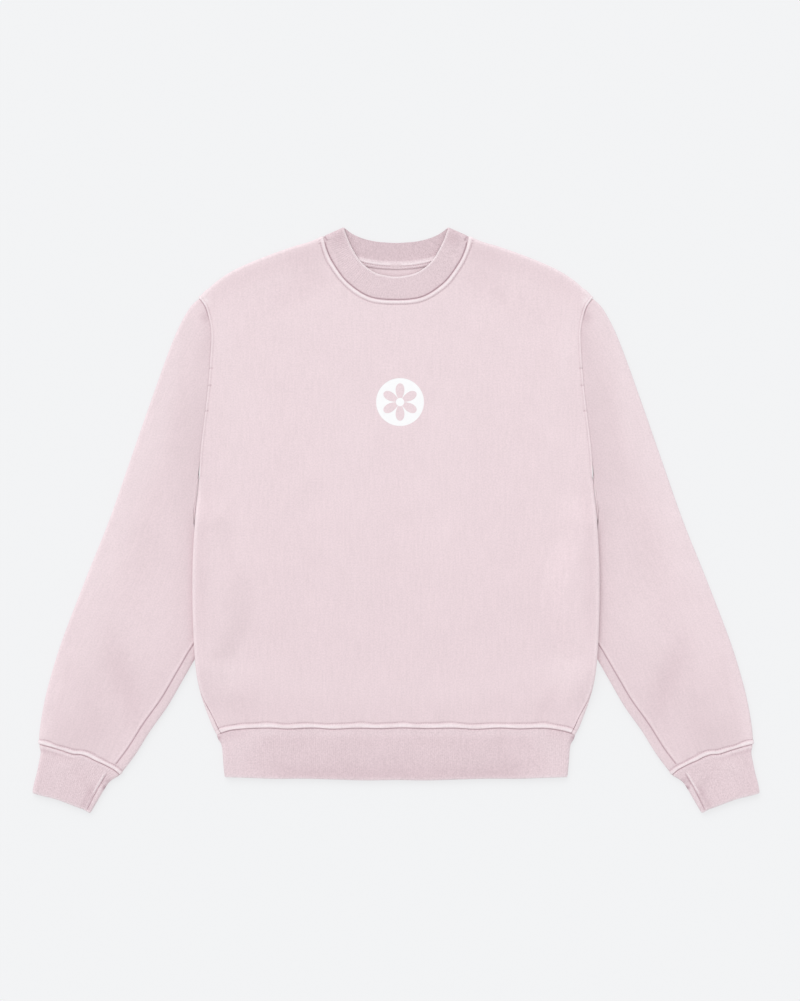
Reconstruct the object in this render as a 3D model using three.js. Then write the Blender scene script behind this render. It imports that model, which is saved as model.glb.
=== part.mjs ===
// A crewneck sweatshirt laid flat on its back, in millimetres.
// X runs across the chest to the wearer's left, Y from hem to neck and Z up from the surface it lies on.
// The outlines are those of the laid garment, for the half with positive X; the other half mirrors them.
import * as THREE from "three";

// Cloth
const FLEECE = 2.4; // brushed fleece of the body and sleeves
const RIB = 3.0; // rib knit, folded double
const TAPE = 0.9; // tape over the back neck seam
const LAID = 8.0; // two layers of cloth with their rolled edge
const SEAM_GAP = 0.3; // between two pieces that are sewn together
const HALF_GAP = SEAM_GAP / 2;
const UNDERARM_GAP = 0.4; // between the body's and the sleeve's rolled edges
const SHOULDER_GAP = 0.9; // between the rolled ends of the neckband and of the body
const TAPE_LAY = { width: 7, end: 20 }; // on the back, and how far short of the shoulders it stops

// Raised seams: the seam allowance lies under the cloth and lifts it in a narrow band.
const WELT_WIDTH = { neck: 5.0, armhole: 4.0 };
const WELT_HEIGHT = { neck: 0.9, hem: 0.9, cuff: 0.9, armhole: 0.5 };
const GROOVE_DEPTH = 0.6; // of the sleeve's own seam

// Body outlines, from the neck down
const SHOULDER = table("x y", [
  [93.2, 367], [113.5, 359], [131.6, 353.8], [161, 343.5], [187, 333.2], [209, 323], [226, 312.5],
  [238.7, 302.2], [254, 286.7],
]);
const ARMHOLE = table("x y", [
  [254, 286.7], [246.5, 276.4], [242.5, 264.8], [239.2, 250], [238.4, 234], [239.9, 206.8], [243.2, 168.1],
  [247.7, 129.4], [252.2, 90.7], [254.7, 52],
]);
const SIDE = table("x y", [
  [254.7, 52], [258, 13.3], [261.9, -44.8], [262.6, -95], [261.5, -141.5], [259.5, -176], [256.2, -205],
  [249, -234.4], [237.4, -265.3], [231, -277],
]);
const HEM_SEAM = table("x y", [[0, -268.4], [95, -268.6], [190, -268.8], [206, -270.2], [224, -274.2]]);
const WAIST = table("x y", [[225.3, -274.9], [223.6, -305], [221.4, -331.4]]);
const WAIST_HEM = table("x y", [
  [0, -335], [40, -335.6], [80, -334.4], [120, -333.4], [157, -333.6], [190, -332.4], [221.4, -331.4],
]);

// Neck, from the shoulder to the centre line
const NECK_SEAM_FRONT = table("x y", [
  [93.2, 367], [91.9, 359], [89.3, 349.3], [82.7, 334.5], [69.5, 314.8], [58.1, 303.2], [41.5, 291.7],
  [25.2, 286], [0, 284.2],
]);
const NECK_EDGE_FRONT = table("x y", [
  [67.7, 378.3], [61.3, 360.8], [54.7, 347.7], [48.1, 337], [38.3, 327], [25.2, 318.9], [8.6, 315], [0, 314.4],
]);
const NECK_SEAM_BACK = table("x y", [
  [93.2, 367], [82, 354.5], [64, 343.5], [45, 336.6], [22, 332.3], [0, 331.3],
]);
const NECK_EDGE_BACK = table("x y", [
  [67.7, 378.3], [55.7, 369.5], [42.2, 363.7], [26.4, 360], [10.3, 358.5], [0, 358.1],
]);

// Sleeve and cuff, from the shoulder down
const SLEEVE_OUTER = table("x y", [
  [254, 286.7], [268.3, 271.3], [287.7, 232.6], [316, 155.2], [343, 77.8], [370.2, 0.4], [401.2, -77],
  [430.9, -154.4], [446.3, -203.5], [454.5, -237], [459.5, -267], [461.4, -288.6],
]);
// Below the body's side the sleeve's edge is beside it at first, then under it, and comes out again.
const SLEEVE_INNER = table("x y", [
  [255.1, 52], [258.4, 13.3], [260, -7], [256, -26], [247.5, -48], [238.5, -73], [234, -98], [236, -124],
  [243.5, -148], [252, -167], [260.6, -180.8], [277.4, -210.2], [295.4, -241.2], [317.3, -272.1],
  [336.7, -303], [356.2, -328.8],
]);
const CUFF_SEAM = table("x y", [
  [461.4, -288.6], [431, -297], [404, -303.8], [380, -313.8], [364.4, -322.6], [356.2, -328.8],
]);
const CUFF_OUTER = table("x y", [
  [460.6, -289], [458.8, -300], [460.5, -310], [463.9, -326.5], [467.2, -338.8], [469.7, -351.9],
]);
const CUFF_INNER = table("x y", [
  [356.8, -329.4], [369.3, -337.2], [375.9, -346.3], [379.6, -352.5], [389.8, -370.1], [394.7, -378.3],
]);
const CUFF_HEM = table("x y", [
  [469.7, -351.9], [458.2, -355.3], [438.5, -360.2], [411.3, -370.4], [404, -372.8], [394.7, -378.3],
]);

// Where the sleeve lies under the side of the body, the body is lifted over it.
const LIFT = { height: LAID + 0.6, top: [38, -8], bottom: [-250, -186], ramp: 44, over: 11 };

// Soft folds and hollows: the middle, the direction in degrees, the half length, the half width and the height.
const BODY_FOLDS = table("x y turn length width height", [
  [205, 120, 84, 120, 22, 0.5], [212, -60, 96, 90, 24, 0.5], [150, -205, 12, 90, 26, 0.5],
  [0, -225, 0, 110, 24, 0.4], [196, -238, 60, 34, 13, -1.3], [118, 300, -28, 60, 20, -0.9],
  [60, 60, 88, 150, 40, 0.3], [222, 225, 80, 60, 14, 0.6],
]);
const SLEEVE_FOLDS = table("x y turn length width height", [
  [300, 120, 110, 110, 18, 0.5], [352, -205, 70, 62, 17, -1.4], [388, -150, 112, 80, 22, 0.6],
  [410, -262, 60, 46, 14, 0.5], [330, -60, 108, 90, 24, -0.5], [276, 170, 100, 70, 12, -0.7],
]);

// Where the meshes have their points. Two pieces that meet at a seam share its stations.
const ROLL_ANGLES = [60, 30, 0, -30, -60];
const BAND = [0, 0.175, 0.35, 0.525, 1]; // across a rolled edge and the flat cloth beside it
const BAND_FLAT = 4; // of that flat cloth
const HEM_ROWS = [0, 1.0, 5.8, 7.4]; // from the hem seam
const SIDE_ROWS = [-250, -219, -188, -150, -110, -70, -32, -8, 15, 38]; // by their y
const ARMHOLE_ROWS = [20, 36, 58, 90, 125, 162, 198]; // from the shoulder
const UNDERARM_ROW = 12; // from the underarm
const SHOULDER_COLUMNS = [26, 46, 70, 105, 143]; // from the armhole
const NECK_SHARES = [0.03, 0.075, 0.15, 0.25, 0.37, 0.5]; // of a neck seam, from a shoulder to the centre
const WELT_ROWS = [7.4, 5.8, 1.0]; // from a cuff seam
const SLEEVE_GROOVE = [14.5, 12, 10.5, 9]; // from the inner fold; the second is the seam
const CUFF_GROOVE = [11.5, 9.5, 8, 6.5];
const UNDERARM_REACH = 8; // of the sleeve's roll where it meets the body's
const EASE = 24; // along a seam, over which its gap changes
const SLEEVE_RINGS = [0, 0.04, 0.09, 0.14, 0.19, 0.25, 0.32, 0.4, 0.48, 0.57, 0.66, 0.75, 0.84, 0.92, 0.965];
const NECK_RINGS = [0, 0.06, 0.35, 0.65, 0.94, 1];
const FOLD_EASE = 30; // inside the rolled edges, over which soft folds rise

const bodyMid = (LAID - FLEECE) / 2; // radius of a body roll's middle surface
const ribMid = (LAID - RIB) / 2;
const middle = LAID / 2; // height of every rolled edge's middle

function table(columns, rows) {
  const names = columns.split(" ");
  return rows.map((row) => Object.fromEntries(names.map((name, i) => [name, row[i]])));
}

const clamp01 = (t) => Math.min(1, Math.max(0, t));
const mix = (a, b, t) => a + (b - a) * t;
const smoothStep = (a, b, x) => {
  const t = clamp01((x - a) / (b - a));
  return t * t * (3 - 2 * t);
};
const add = (p, q, k = 1) => [p[0] + q[0] * k, p[1] + q[1] * k];
const unit = (p) => {
  const length = Math.hypot(p[0], p[1]) || 1;
  return [p[0] / length, p[1] / length];
};
const left = (p) => [-p[1], p[0]];

// A plane line measured by its length.
class Line {
  constructor(points) {
    this.points = points;
    this.along = [0];
    for (let i = 1; i < points.length; i++) {
      const step = Math.hypot(points[i][0] - points[i - 1][0], points[i][1] - points[i - 1][1]);
      this.along.push(this.along[i - 1] + step);
    }
    this.length = this.along[points.length - 1];
  }
  segment(distance) {
    let i = 1;
    while (i < this.along.length - 1 && this.along[i] < distance) i++;
    return i;
  }
  at(distance) {
    const i = this.segment(distance);
    const span = this.along[i] - this.along[i - 1];
    const t = (distance - this.along[i - 1]) / span;
    return [0, 1].map((k) => mix(this.points[i - 1][k], this.points[i][k], t));
  }
  share(t) {
    return this.at(clamp01(t) * this.length);
  }
  tangent(distance) {
    const near = 1.5;
    const a = this.at(Math.max(0, distance - near));
    const b = this.at(Math.min(this.length, distance + near));
    return unit(add(b, a, -1));
  }
  // The line moved sideways, to the left of its direction for a positive amount, which may vary along it.
  moved(amount) {
    const by = typeof amount === "function" ? amount : () => amount;
    return new Line(
      this.points.map((p, i) => add(p, left(this.tangent(this.along[i])), by(this.along[i], this.length))),
    );
  }
  // The line between two points near its ends.
  between(p, q) {
    const apart = (a, b) => Math.hypot(a[0] - b[0], a[1] - b[1]);
    const inner = this.points.slice(1, -1).filter((a) => apart(a, p) > 2 && apart(a, q) > 2);
    return new Line([p, ...inner, q]);
  }
  // How far along the line a height is passed.
  stationAt(y) {
    const i = this.points.findIndex((p, k) => k > 0 && (p[1] - y) * (this.points[k - 1][1] - y) <= 0);
    const [a, b] = [this.points[i - 1], this.points[i]];
    return mix(this.along[i - 1], this.along[i], (y - a[1]) / (b[1] - a[1]));
  }
  reversed() {
    return new Line([...this.points].reverse());
  }
  mirrored() {
    return new Line(this.points.map((p) => [-p[0], p[1]]));
  }
  joined(other) {
    return new Line([...this.points, ...other.points.slice(1)]);
  }
  distanceTo(p) {
    let best = Infinity;
    for (let i = 1; i < this.points.length; i++) {
      const a = this.points[i - 1];
      const d = add(this.points[i], a, -1);
      const t = clamp01(((p[0] - a[0]) * d[0] + (p[1] - a[1]) * d[1]) / (d[0] * d[0] + d[1] * d[1]));
      best = Math.min(best, Math.hypot(p[0] - a[0] - t * d[0], p[1] - a[1] - t * d[1]));
    }
    return best;
  }
}

// A Catmull-Rom curve through the rows of a table.
function curve(rows, steps = 8) {
  const p = rows.map(({ x, y }) => [x, y]);
  const first = add(p[0], add(p[1], p[0], -1), -1);
  const last = add(p[p.length - 1], add(p[p.length - 1], p[p.length - 2], -1));
  const q = [first, ...p, last];
  const points = [p[0]];
  for (let i = 1; i < q.length - 2; i++) {
    for (let s = 1; s <= steps; s++) {
      const t = s / steps;
      points.push(
        [0, 1].map((k) => {
          const [a, b, c, d] = [q[i - 1][k], q[i][k], q[i + 1][k], q[i + 2][k]];
          const cubic = -a + 3 * b - 3 * c + d;
          const square = 2 * a - 5 * b + 4 * c - d;
          return 0.5 * (2 * b + (c - a) * t + square * t * t + cubic * t * t * t);
        }),
      );
    }
  }
  return new Line(points);
}

// A curve that ends on the centre line, carried on over it by its mirror image.
function acrossCentre(rows) {
  const half = curve([...rows, { x: -rows[rows.length - 2].x, y: rows[rows.length - 2].y }]);
  const kept = half.points.filter((p) => p[0] >= -1e-6);
  kept[kept.length - 1][0] = 0;
  const right = new Line(kept);
  return right.joined(right.mirrored().reversed());
}

// Where two lines cross near their ends, each carried straight on.
function corner(one, oneEnds, other, otherEnds) {
  const [p, q] = [one.share(oneEnds), other.share(otherEnds)];
  const u = one.tangent(oneEnds * one.length);
  const v = other.tangent(otherEnds * other.length);
  const cross = (a, b) => a[0] * b[1] - a[1] * b[0];
  return add(p, u, cross(add(q, p, -1), v) / cross(u, v));
}

// The section of a rolled edge: p runs over the cloth from the outermost point, up and then inwards.
function roll(p, radius) {
  const quarter = (Math.PI * radius) / 2;
  const past = Math.abs(p) - quarter;
  if (past >= 0) return { inset: radius + past, height: Math.sign(p) * radius, out: 0, up: Math.sign(p) };
  const a = p / radius;
  return { inset: radius * (1 - Math.cos(a)), height: radius * Math.sin(a), out: Math.cos(a), up: Math.sin(a) };
}

function foldHeight(x, y, folds) {
  let height = 0;
  for (const fold of folds) {
    const turn = THREE.MathUtils.degToRad(fold.turn);
    const dx = x - fold.x;
    const dy = y - fold.y;
    const along = (dx * Math.cos(turn) + dy * Math.sin(turn)) / fold.length;
    const across = (dy * Math.cos(turn) - dx * Math.sin(turn)) / fold.width;
    height += fold.height * Math.exp(-along * along - across * across);
  }
  return height;
}

const armhole = curve(ARMHOLE);
const side = curve(SIDE);
const sleeveInner = curve(SLEEVE_INNER);
const sleeveOuter = curve(SLEEVE_OUTER);
const neckSeamFront = acrossCentre(NECK_SEAM_FRONT);
const neckSeamBack = acrossCentre(NECK_SEAM_BACK);

// Middle surfaces keep half a thickness inside the outlines.
const sideFold = side.moved(-FLEECE / 2);
const shoulderFold = curve(SHOULDER).moved(-FLEECE / 2);

// The x of a falling curve at a height, or of its nearer end past them.
function xAt(line, y) {
  const [top, bottom] = [line.points[0], line.points[line.points.length - 1]];
  if (y >= top[1]) return top[0];
  return y <= bottom[1] ? bottom[0] : line.at(line.stationAt(y))[0];
}

function liftAt(x, y) {
  const along = smoothStep(LIFT.top[0], LIFT.top[1], y) * smoothStep(LIFT.bottom[0], LIFT.bottom[1], y);
  if (along === 0) return 0;
  const edge = Math.min(xAt(sleeveInner, y), xAt(side, y)) - LIFT.over;
  return LIFT.height * along * smoothStep(edge - LIFT.ramp, edge, Math.abs(x));
}

// The laid body: the front lies on the back, and both are flat inside their rolled edges.
function insideFolds(x, y) {
  const at = [Math.abs(x), y];
  return Math.min(sideFold.distanceTo(at), shoulderFold.distanceTo(at));
}
function rise(x, y) {
  const d = Math.min(bodyMid, insideFolds(x, y));
  return Math.sqrt(bodyMid * bodyMid - (bodyMid - d) ** 2);
}
function frontHeight(x, y) {
  const folds = foldHeight(Math.abs(x), y, BODY_FOLDS) * smoothStep(0, FOLD_EASE, insideFolds(x, y));
  return middle + liftAt(x, y) + folds;
}
const backHeight = (x, y) => middle + liftAt(x, y);

// The normal of a surface that is given by its height.
function normalOf(height, x, y) {
  const h = 1;
  const gx = (height(x + h, y) - height(x - h, y)) / (2 * h);
  const gy = (height(x, y + h) - height(x, y - h)) / (2 * h);
  return new THREE.Vector3(-gx, -gy, 1).normalize();
}

// A point of a middle surface: its place, the way out of the cloth and how far the outer face is raised.
function point(x, y, z, normal, raised = 0) {
  return { at: new THREE.Vector3(x, y, z), normal, raised };
}

// The closed solid of a cloth wall on a grid of points; a tube's rows join end to end.
function wall(grid, thickness, tube = false) {
  const rows = grid.length;
  const columns = grid[0].length;
  const positions = [];
  for (const out of [1, -1]) {
    for (const row of grid) {
      for (const { at, normal, raised } of row) {
        const offset = out > 0 ? thickness / 2 + raised : -thickness / 2;
        positions.push(at.x + normal.x * offset, at.y + normal.y * offset, at.z + normal.z * offset);
      }
    }
  }
  const index = [];
  const vertex = (face, j, i) => face * rows * columns + j * columns + (i % columns);
  const quad = (a, b, c, d) => index.push(a, b, c, a, c, d);
  const spans = tube ? columns : columns - 1;
  for (let j = 0; j < rows - 1; j++) {
    for (let i = 0; i < spans; i++) {
      quad(vertex(0, j, i), vertex(0, j, i + 1), vertex(0, j + 1, i + 1), vertex(0, j + 1, i));
      quad(vertex(1, j, i), vertex(1, j + 1, i), vertex(1, j + 1, i + 1), vertex(1, j, i + 1));
    }
  }
  for (let i = 0; i < spans; i++) {
    quad(vertex(1, 0, i), vertex(1, 0, i + 1), vertex(0, 0, i + 1), vertex(0, 0, i));
    quad(vertex(0, rows - 1, i), vertex(0, rows - 1, i + 1), vertex(1, rows - 1, i + 1), vertex(1, rows - 1, i));
  }
  if (!tube) {
    const last = columns - 1;
    for (let j = 0; j < rows - 1; j++) {
      quad(vertex(0, j, 0), vertex(0, j + 1, 0), vertex(1, j + 1, 0), vertex(1, j, 0));
      quad(vertex(0, j, last), vertex(1, j, last), vertex(1, j + 1, last), vertex(0, j + 1, last));
    }
  }
  const geometry = new THREE.BufferGeometry();
  geometry.setAttribute("position", new THREE.Float32BufferAttribute(positions, 3));
  geometry.setIndex(index);
  if (signedVolume(geometry) < 0) geometry.setIndex(index.reverse());
  geometry.computeVertexNormals();
  return geometry;
}

function signedVolume(geometry) {
  const position = geometry.getAttribute("position");
  const [a, b, c] = [0, 1, 2].map(() => new THREE.Vector3());
  let volume = 0;
  for (let i = 0; i < geometry.index.count; i += 3) {
    a.fromBufferAttribute(position, geometry.index.getX(i));
    b.fromBufferAttribute(position, geometry.index.getX(i + 1));
    c.fromBufferAttribute(position, geometry.index.getX(i + 2));
    volume += a.dot(b.cross(c)) / 6;
  }
  return volume;
}

// Half a body panel is a grid. Row 0 is at the hem seam, and column 0 at the side and the armhole.
const bandWidth = bodyMid + BAND_FLAT;
const bandRoll = (w, sign) => {
  const p = mix(HALF_GAP, (Math.PI * bodyMid) / 2 + BAND_FLAT, w);
  return roll(p * sign, bodyMid);
};
const lastBand = BAND.length - 1;
const intoEnd = (d, length) => smoothStep(length - EASE, length, d);
const armholeEdge = armhole.moved((d, length) => -mix(HALF_GAP, FLEECE / 2, intoEnd(d, length)));
const armholeTop = corner(shoulderFold, 1, armholeEdge, 0);
const outwards = (line, d) => left(line.tangent(d));
const opposite = (p) => [-p[0], -p[1]];

// A cell of a panel is its place in plan and, on a rolled edge, its height over the roll's middle and its normal.
function rolledCell(p, r, outward) {
  return { p, height: r.height, normal: [outward[0] * r.out, outward[1] * r.out, r.up] };
}

// The rows that the side and the armhole give, from the hem up.
function edgeRows() {
  const upSide = (d) => sideFold.length - d;
  const onSide = (d) => ({ base: sideFold.at(d), outward: outwards(sideFold, d), rolled: true });
  const onArmhole = (d) => ({ base: armholeEdge.at(d), outward: outwards(armholeEdge, d) });
  return [
    ...HEM_ROWS.map((d) => onSide(upSide(d))),
    ...SIDE_ROWS.map((y) => onSide(sideFold.stationAt(y))),
    onSide(0),
    onArmhole(armholeEdge.length - UNDERARM_ROW),
    ...[...ARMHOLE_ROWS].reverse().map(onArmhole),
    ...[...BAND].reverse().map((w) => ({ base: armholeEdge.at(bandRoll(w, 1).inset), top: true })),
  ];
}

// The columns that the shoulder and the neck seam give, from the armhole to the centre line.
function topColumns(neckSeam) {
  const neck = neckSeam.moved(HALF_GAP);
  const onShoulder = (d) => {
    const station = shoulderFold.length - d;
    return { p: shoulderFold.at(station), outward: outwards(shoulderFold, station), fold: true };
  };
  const neckCorner = { ...onShoulder(shoulderFold.length), p: neck.at(FLEECE / 2), fold: true };
  neckCorner.across = outwards(neck, 3);
  const inBand = BAND.map((w) => onShoulder(w * bandWidth));
  const columns = [...inBand, ...SHOULDER_COLUMNS.map(onShoulder), neckCorner];
  for (const share of NECK_SHARES) {
    const d = share * neck.length;
    columns.push({ p: neck.at(d), outward: opposite(outwards(neck, d)) });
  }
  const centre = columns[columns.length - 1];
  centre.p[0] = 0;
  centre.outward = [0, 1];
  columns[0].p = armholeTop;
  return columns;
}

function sideBand(grid, rows, columns, sign) {
  rows.forEach((row, j) => {
    BAND.forEach((w, i) => {
      if (row.top) {
        const r = bandRoll(BAND[rows.length - 1 - j], sign);
        const p = add(add(columns[i].p, row.base), armholeTop, -1);
        grid[j][i] = rolledCell(p, r, columns[i].outward);
      } else if (row.rolled) {
        const r = bandRoll(w, sign);
        grid[j][i] = rolledCell(add(row.base, row.outward, -r.inset), r, row.outward);
      } else {
        grid[j][i] = { p: add(row.base, row.outward, -w * bandWidth) };
      }
    });
  });
}

function topBand(grid, columns, sign) {
  for (let i = lastBand + 1; i < columns.length; i++) {
    const { p, outward, fold, across } = columns[i];
    BAND.forEach((w, k) => {
      const r = bandRoll(w, sign);
      const row = grid[grid.length - 1 - k];
      if (across) {
        const inward = unit(add(across, outward, -1));
        const share = r.inset / -(inward[0] * outward[0] + inward[1] * outward[1]);
        row[i] = rolledCell(add(p, inward, share), r, outward);
      } else if (fold) {
        row[i] = rolledCell(add(p, outward, -r.inset), r, outward);
      } else {
        row[i] = { p: add(p, outward, -w * bandWidth) };
      }
    });
  }
}

// The hem seam's height across the body, and its stations, which follow the front's columns.
const hemLine = curve(HEM_SEAM);
function hemAt(x) {
  const i = Math.max(1, hemLine.points.findIndex((p) => p[0] >= Math.abs(x)));
  const [a, b] = [hemLine.points[i - 1], hemLine.points[i]];
  return mix(a[1], b[1], clamp01((Math.abs(x) - a[0]) / (b[0] - a[0])));
}
function hemStations(start) {
  const xs = topColumns(neckSeamFront).slice(lastBand).map(({ p }) => p[0]);
  return xs.map((x) => (start * x) / xs[0]);
}

// Fills the rows between the hem and the top band with a Coons patch.
function fillPanel(grid) {
  const n = grid[grid.length - 1].length - 1;
  hemStations(grid[0][lastBand].p[0]).forEach((x, k) => {
    if (k > 0) HEM_ROWS.forEach((d, j) => (grid[j][lastBand + k] = { p: [x, hemAt(x) + d] }));
  });
  const low = HEM_ROWS.length - 1;
  const high = grid.length - BAND.length;
  const edge = new Line(grid.map((row) => row[lastBand].p));
  for (let j = low + 1; j < high; j++) {
    const v = (edge.along[j] - edge.along[low]) / (edge.along[high] - edge.along[low]);
    const centre = [0, mix(grid[low][n].p[1], grid[high][n].p[1], v)];
    for (let i = lastBand + 1; i <= n; i++) {
      const u = 1 - grid[low][i].p[0] / grid[low][lastBand].p[0];
      const p = [0, 1].map((k) => {
        const lines = mix(grid[low][i].p[k], grid[high][i].p[k], v) + mix(edge.points[j][k], centre[k], u);
        const ends = [low, high].map((row) => mix(grid[row][lastBand].p[k], grid[row][n].p[k], u));
        return lines - mix(ends[0], ends[1], v);
      });
      grid[j][i] = { p };
    }
  }
}

const flipX = (v) => new THREE.Vector3(-v.x, v.y, v.z);
const flipPoint = (q) => ({ ...q, at: flipX(q.at), normal: flipX(q.normal) });
const flipGrid = (grid) => grid.map((row) => row.map(flipPoint));

function bodyPanel(front) {
  const sign = front ? 1 : -1;
  const heightAt = front ? frontHeight : backHeight;
  const columns = topColumns(front ? neckSeamFront : neckSeamBack);
  const rows = edgeRows();
  const grid = rows.map(() => []);
  sideBand(grid, rows, columns, sign);
  topBand(grid, columns, sign);
  fillPanel(grid);
  const half = grid.map((row, j) =>
    row.map(({ p: [x, y], height, normal }) => {
      const raised = front ? weltAt(x, y, j) : 0;
      if (normal && Math.abs(normal[2]) < 1) {
        return point(x, y, middle + liftAt(x, y) + height, new THREE.Vector3(...normal).normalize(), raised);
      }
      const up = normalOf(heightAt, x, y).multiplyScalar(sign);
      return point(x, y, heightAt(x, y) + sign * rise(x, y), up, raised);
    }),
  );
  return half.map((row) => [...row.slice(0, -1).map(flipPoint), ...[...row].reverse()]);
}

// How far a seam's allowance raises the front beside it.
function weltAt(x, y, row) {
  if (neckSeamFront.distanceTo([x, y]) < WELT_WIDTH.neck) return WELT_HEIGHT.neck;
  if (row > 0 && row < HEM_ROWS.length - 1) return WELT_HEIGHT.hem;
  const aboveUnderarm = y > ARMHOLE[ARMHOLE.length - 1].y + UNDERARM_ROW;
  return aboveUnderarm && armhole.distanceTo([x, y]) < WELT_WIDTH.armhole ? WELT_HEIGHT.armhole : 0;
}

// One ring of a flattened tube. Its front and back lines run from a to b. The cloth rolls over at both, within
// the given reach. Both lines have stations at shares of their length, and the front some more near b.
function ring({ front, back, radius, shares, near = [], reachA, reachB, outA, outB, heightAt }) {
  const points = [];
  const flat = (line, d, sign) => {
    const [x, y] = line.at(d);
    const height = sign > 0 && heightAt ? heightAt(x, y) : 0;
    points.push(point(x, y, middle + sign * radius + height, new THREE.Vector3(0, 0, sign)));
  };
  const turnOver = (atB, out, share, sign) => {
    for (const angle of ROLL_ANGLES) {
      const a = THREE.MathUtils.degToRad(angle * sign);
      const line = a >= 0 ? front : back;
      const d = share * line.length * (1 - Math.cos(a));
      const [x, y] = line.at(atB ? line.length - d : d);
      const normal = new THREE.Vector3(out[0] * Math.cos(a), out[1] * Math.cos(a), Math.sin(a));
      points.push(point(x, y, middle + radius * Math.sin(a), normal));
    }
  };
  const stations = (line) => [reachA * line.length, ...shares.map((share) => share * line.length)];
  for (const d of [...stations(front), ...near.map((d) => front.length - d)]) flat(front, d, 1);
  flat(front, front.length * (1 - reachB), 1);
  turnOver(true, outB, reachB, 1);
  for (const d of [...stations(back), back.length * (1 - reachB)].reverse()) flat(back, d, -1);
  turnOver(false, outA, reachA, -1);
  return points;
}

// A flat tube within four outlines: a and b run down its sides, start and end across it from a to b.
function flatTube({ a, b, start, end, rings, thickness, shares, near, reachAt, heightAt }) {
  const radius = (LAID - thickness) / 2;
  const [sideA, sideB] = [a.moved(-thickness / 2), b.moved(thickness / 2)];
  const corners = [0, 1].map((v) => {
    const across = v === 0 ? start : end;
    return [corner(sideA, v, across, 0), corner(sideB, v, across, 1)];
  });
  const lineA = sideA.between(corners[0][0], corners[1][0]);
  const lineB = sideB.between(corners[0][1], corners[1][1]);
  const first = start.between(...corners[0]);
  const last = end.between(...corners[1]);
  return rings.map((v) => {
    const [from, to] = [lineA.share(v), lineB.share(v)];
    const points = spreadOver(48).map((u) =>
      [0, 1].map((k) => {
        const sides = mix(from[k], to[k], u);
        const low = mix(corners[0][0][k], corners[0][1][k], u);
        const high = mix(corners[1][0][k], corners[1][1][k], u);
        return sides + mix(first.share(u)[k] - low, last.share(u)[k] - high, v);
      }),
    );
    const line = new Line(points);
    const reach = radius / line.length;
    return ring({
      front: line, back: line, radius, shares, near, reachA: reach, reachB: reachAt?.(v, line) ?? reach,
      outA: left(sideA.tangent(v * sideA.length)), outB: opposite(left(sideB.tangent(v * sideB.length))),
      heightAt: heightAt && ((x, y) => heightAt(x, y, v)),
    });
  });
}

const spreadOver = (count, from = 0, to = 1) =>
  Array.from({ length: count + 1 }, (_, k) => mix(from, to, k / count));

const armholeShares = ARMHOLE_ROWS.map((d) => d / armhole.length);
const cuffSeam = curve(CUFF_SEAM);

function sleeveGrid() {
  const clear = (d, length) => mix(HALF_GAP, FLEECE / 2 + UNDERARM_GAP, intoEnd(d, length));
  const welt = WELT_ROWS.map((d) => 1 - d / sleeveOuter.length);
  const grid = flatTube({
    a: sleeveOuter, b: sleeveInner, start: armhole.moved(clear), end: cuffSeam, thickness: FLEECE,
    rings: [...SLEEVE_RINGS, ...welt, 1], shares: armholeShares, near: SLEEVE_GROOVE,
    reachAt: (v, line) => mix(UNDERARM_REACH, bodyMid, smoothStep(0, SLEEVE_RINGS[3], v)) / line.length,
    heightAt: sleeveHeight,
  });
  const onFront = armholeShares.length + SLEEVE_GROOVE.length + 2;
  for (const row of grid.slice(-3, -1)) {
    for (const q of row.slice(0, onFront)) q.raised = WELT_HEIGHT.cuff;
  }
  for (const row of grid.slice(1, -4)) row[armholeShares.length + 2].raised = -GROOVE_DEPTH;
  return grid;
}

function sleeveHeight(x, y, v) {
  const ends = smoothStep(0, 0.06, v) * smoothStep(1, 0.93, v);
  const inside = Math.min(sleeveOuter.distanceTo([x, y]), sleeveInner.distanceTo([x, y]));
  const besideBody = smoothStep(0, 20, x - xAt(side, y));
  return foldHeight(x, y, SLEEVE_FOLDS) * ends * smoothStep(0, 22, inside) * besideBody;
}

function cuffGrid() {
  const grid = flatTube({
    a: curve(CUFF_OUTER), b: curve(CUFF_INNER), start: cuffSeam.moved((d, length) => SEAM_GAP * (1 + intoEnd(d, length))), end: curve(CUFF_HEM),
    thickness: RIB, rings: spreadOver(4), shares: armholeShares, near: CUFF_GROOVE,
  });
  for (const row of grid.slice(1)) row[armholeShares.length + 2].raised = -GROOVE_DEPTH;
  return grid;
}

function waistGrid() {
  const edge = curve(WAIST);
  const xs = hemStations(WAIST[0].x - RIB / 2 - bandWidth);
  const stations = [...xs, ...[...xs].reverse().slice(1).map((x) => -x)];
  const hem = stations.map((x) => [x, hemAt(x) - SEAM_GAP]);
  const { x, y } = WAIST[0];
  const start = new Line([[x, y], ...hem, [-x, y]]);
  const inner = new Line([[x - RIB / 2, y], ...hem, [RIB / 2 - x, y]]);
  const foot = curve(WAIST_HEM).reversed();
  return flatTube({
    a: edge, b: edge.mirrored(), start, end: foot.joined(foot.reversed().mirrored()), thickness: RIB,
    rings: spreadOver(3), shares: hem.map((_, k) => inner.along[k + 1] / inner.length),
  });
}

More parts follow.
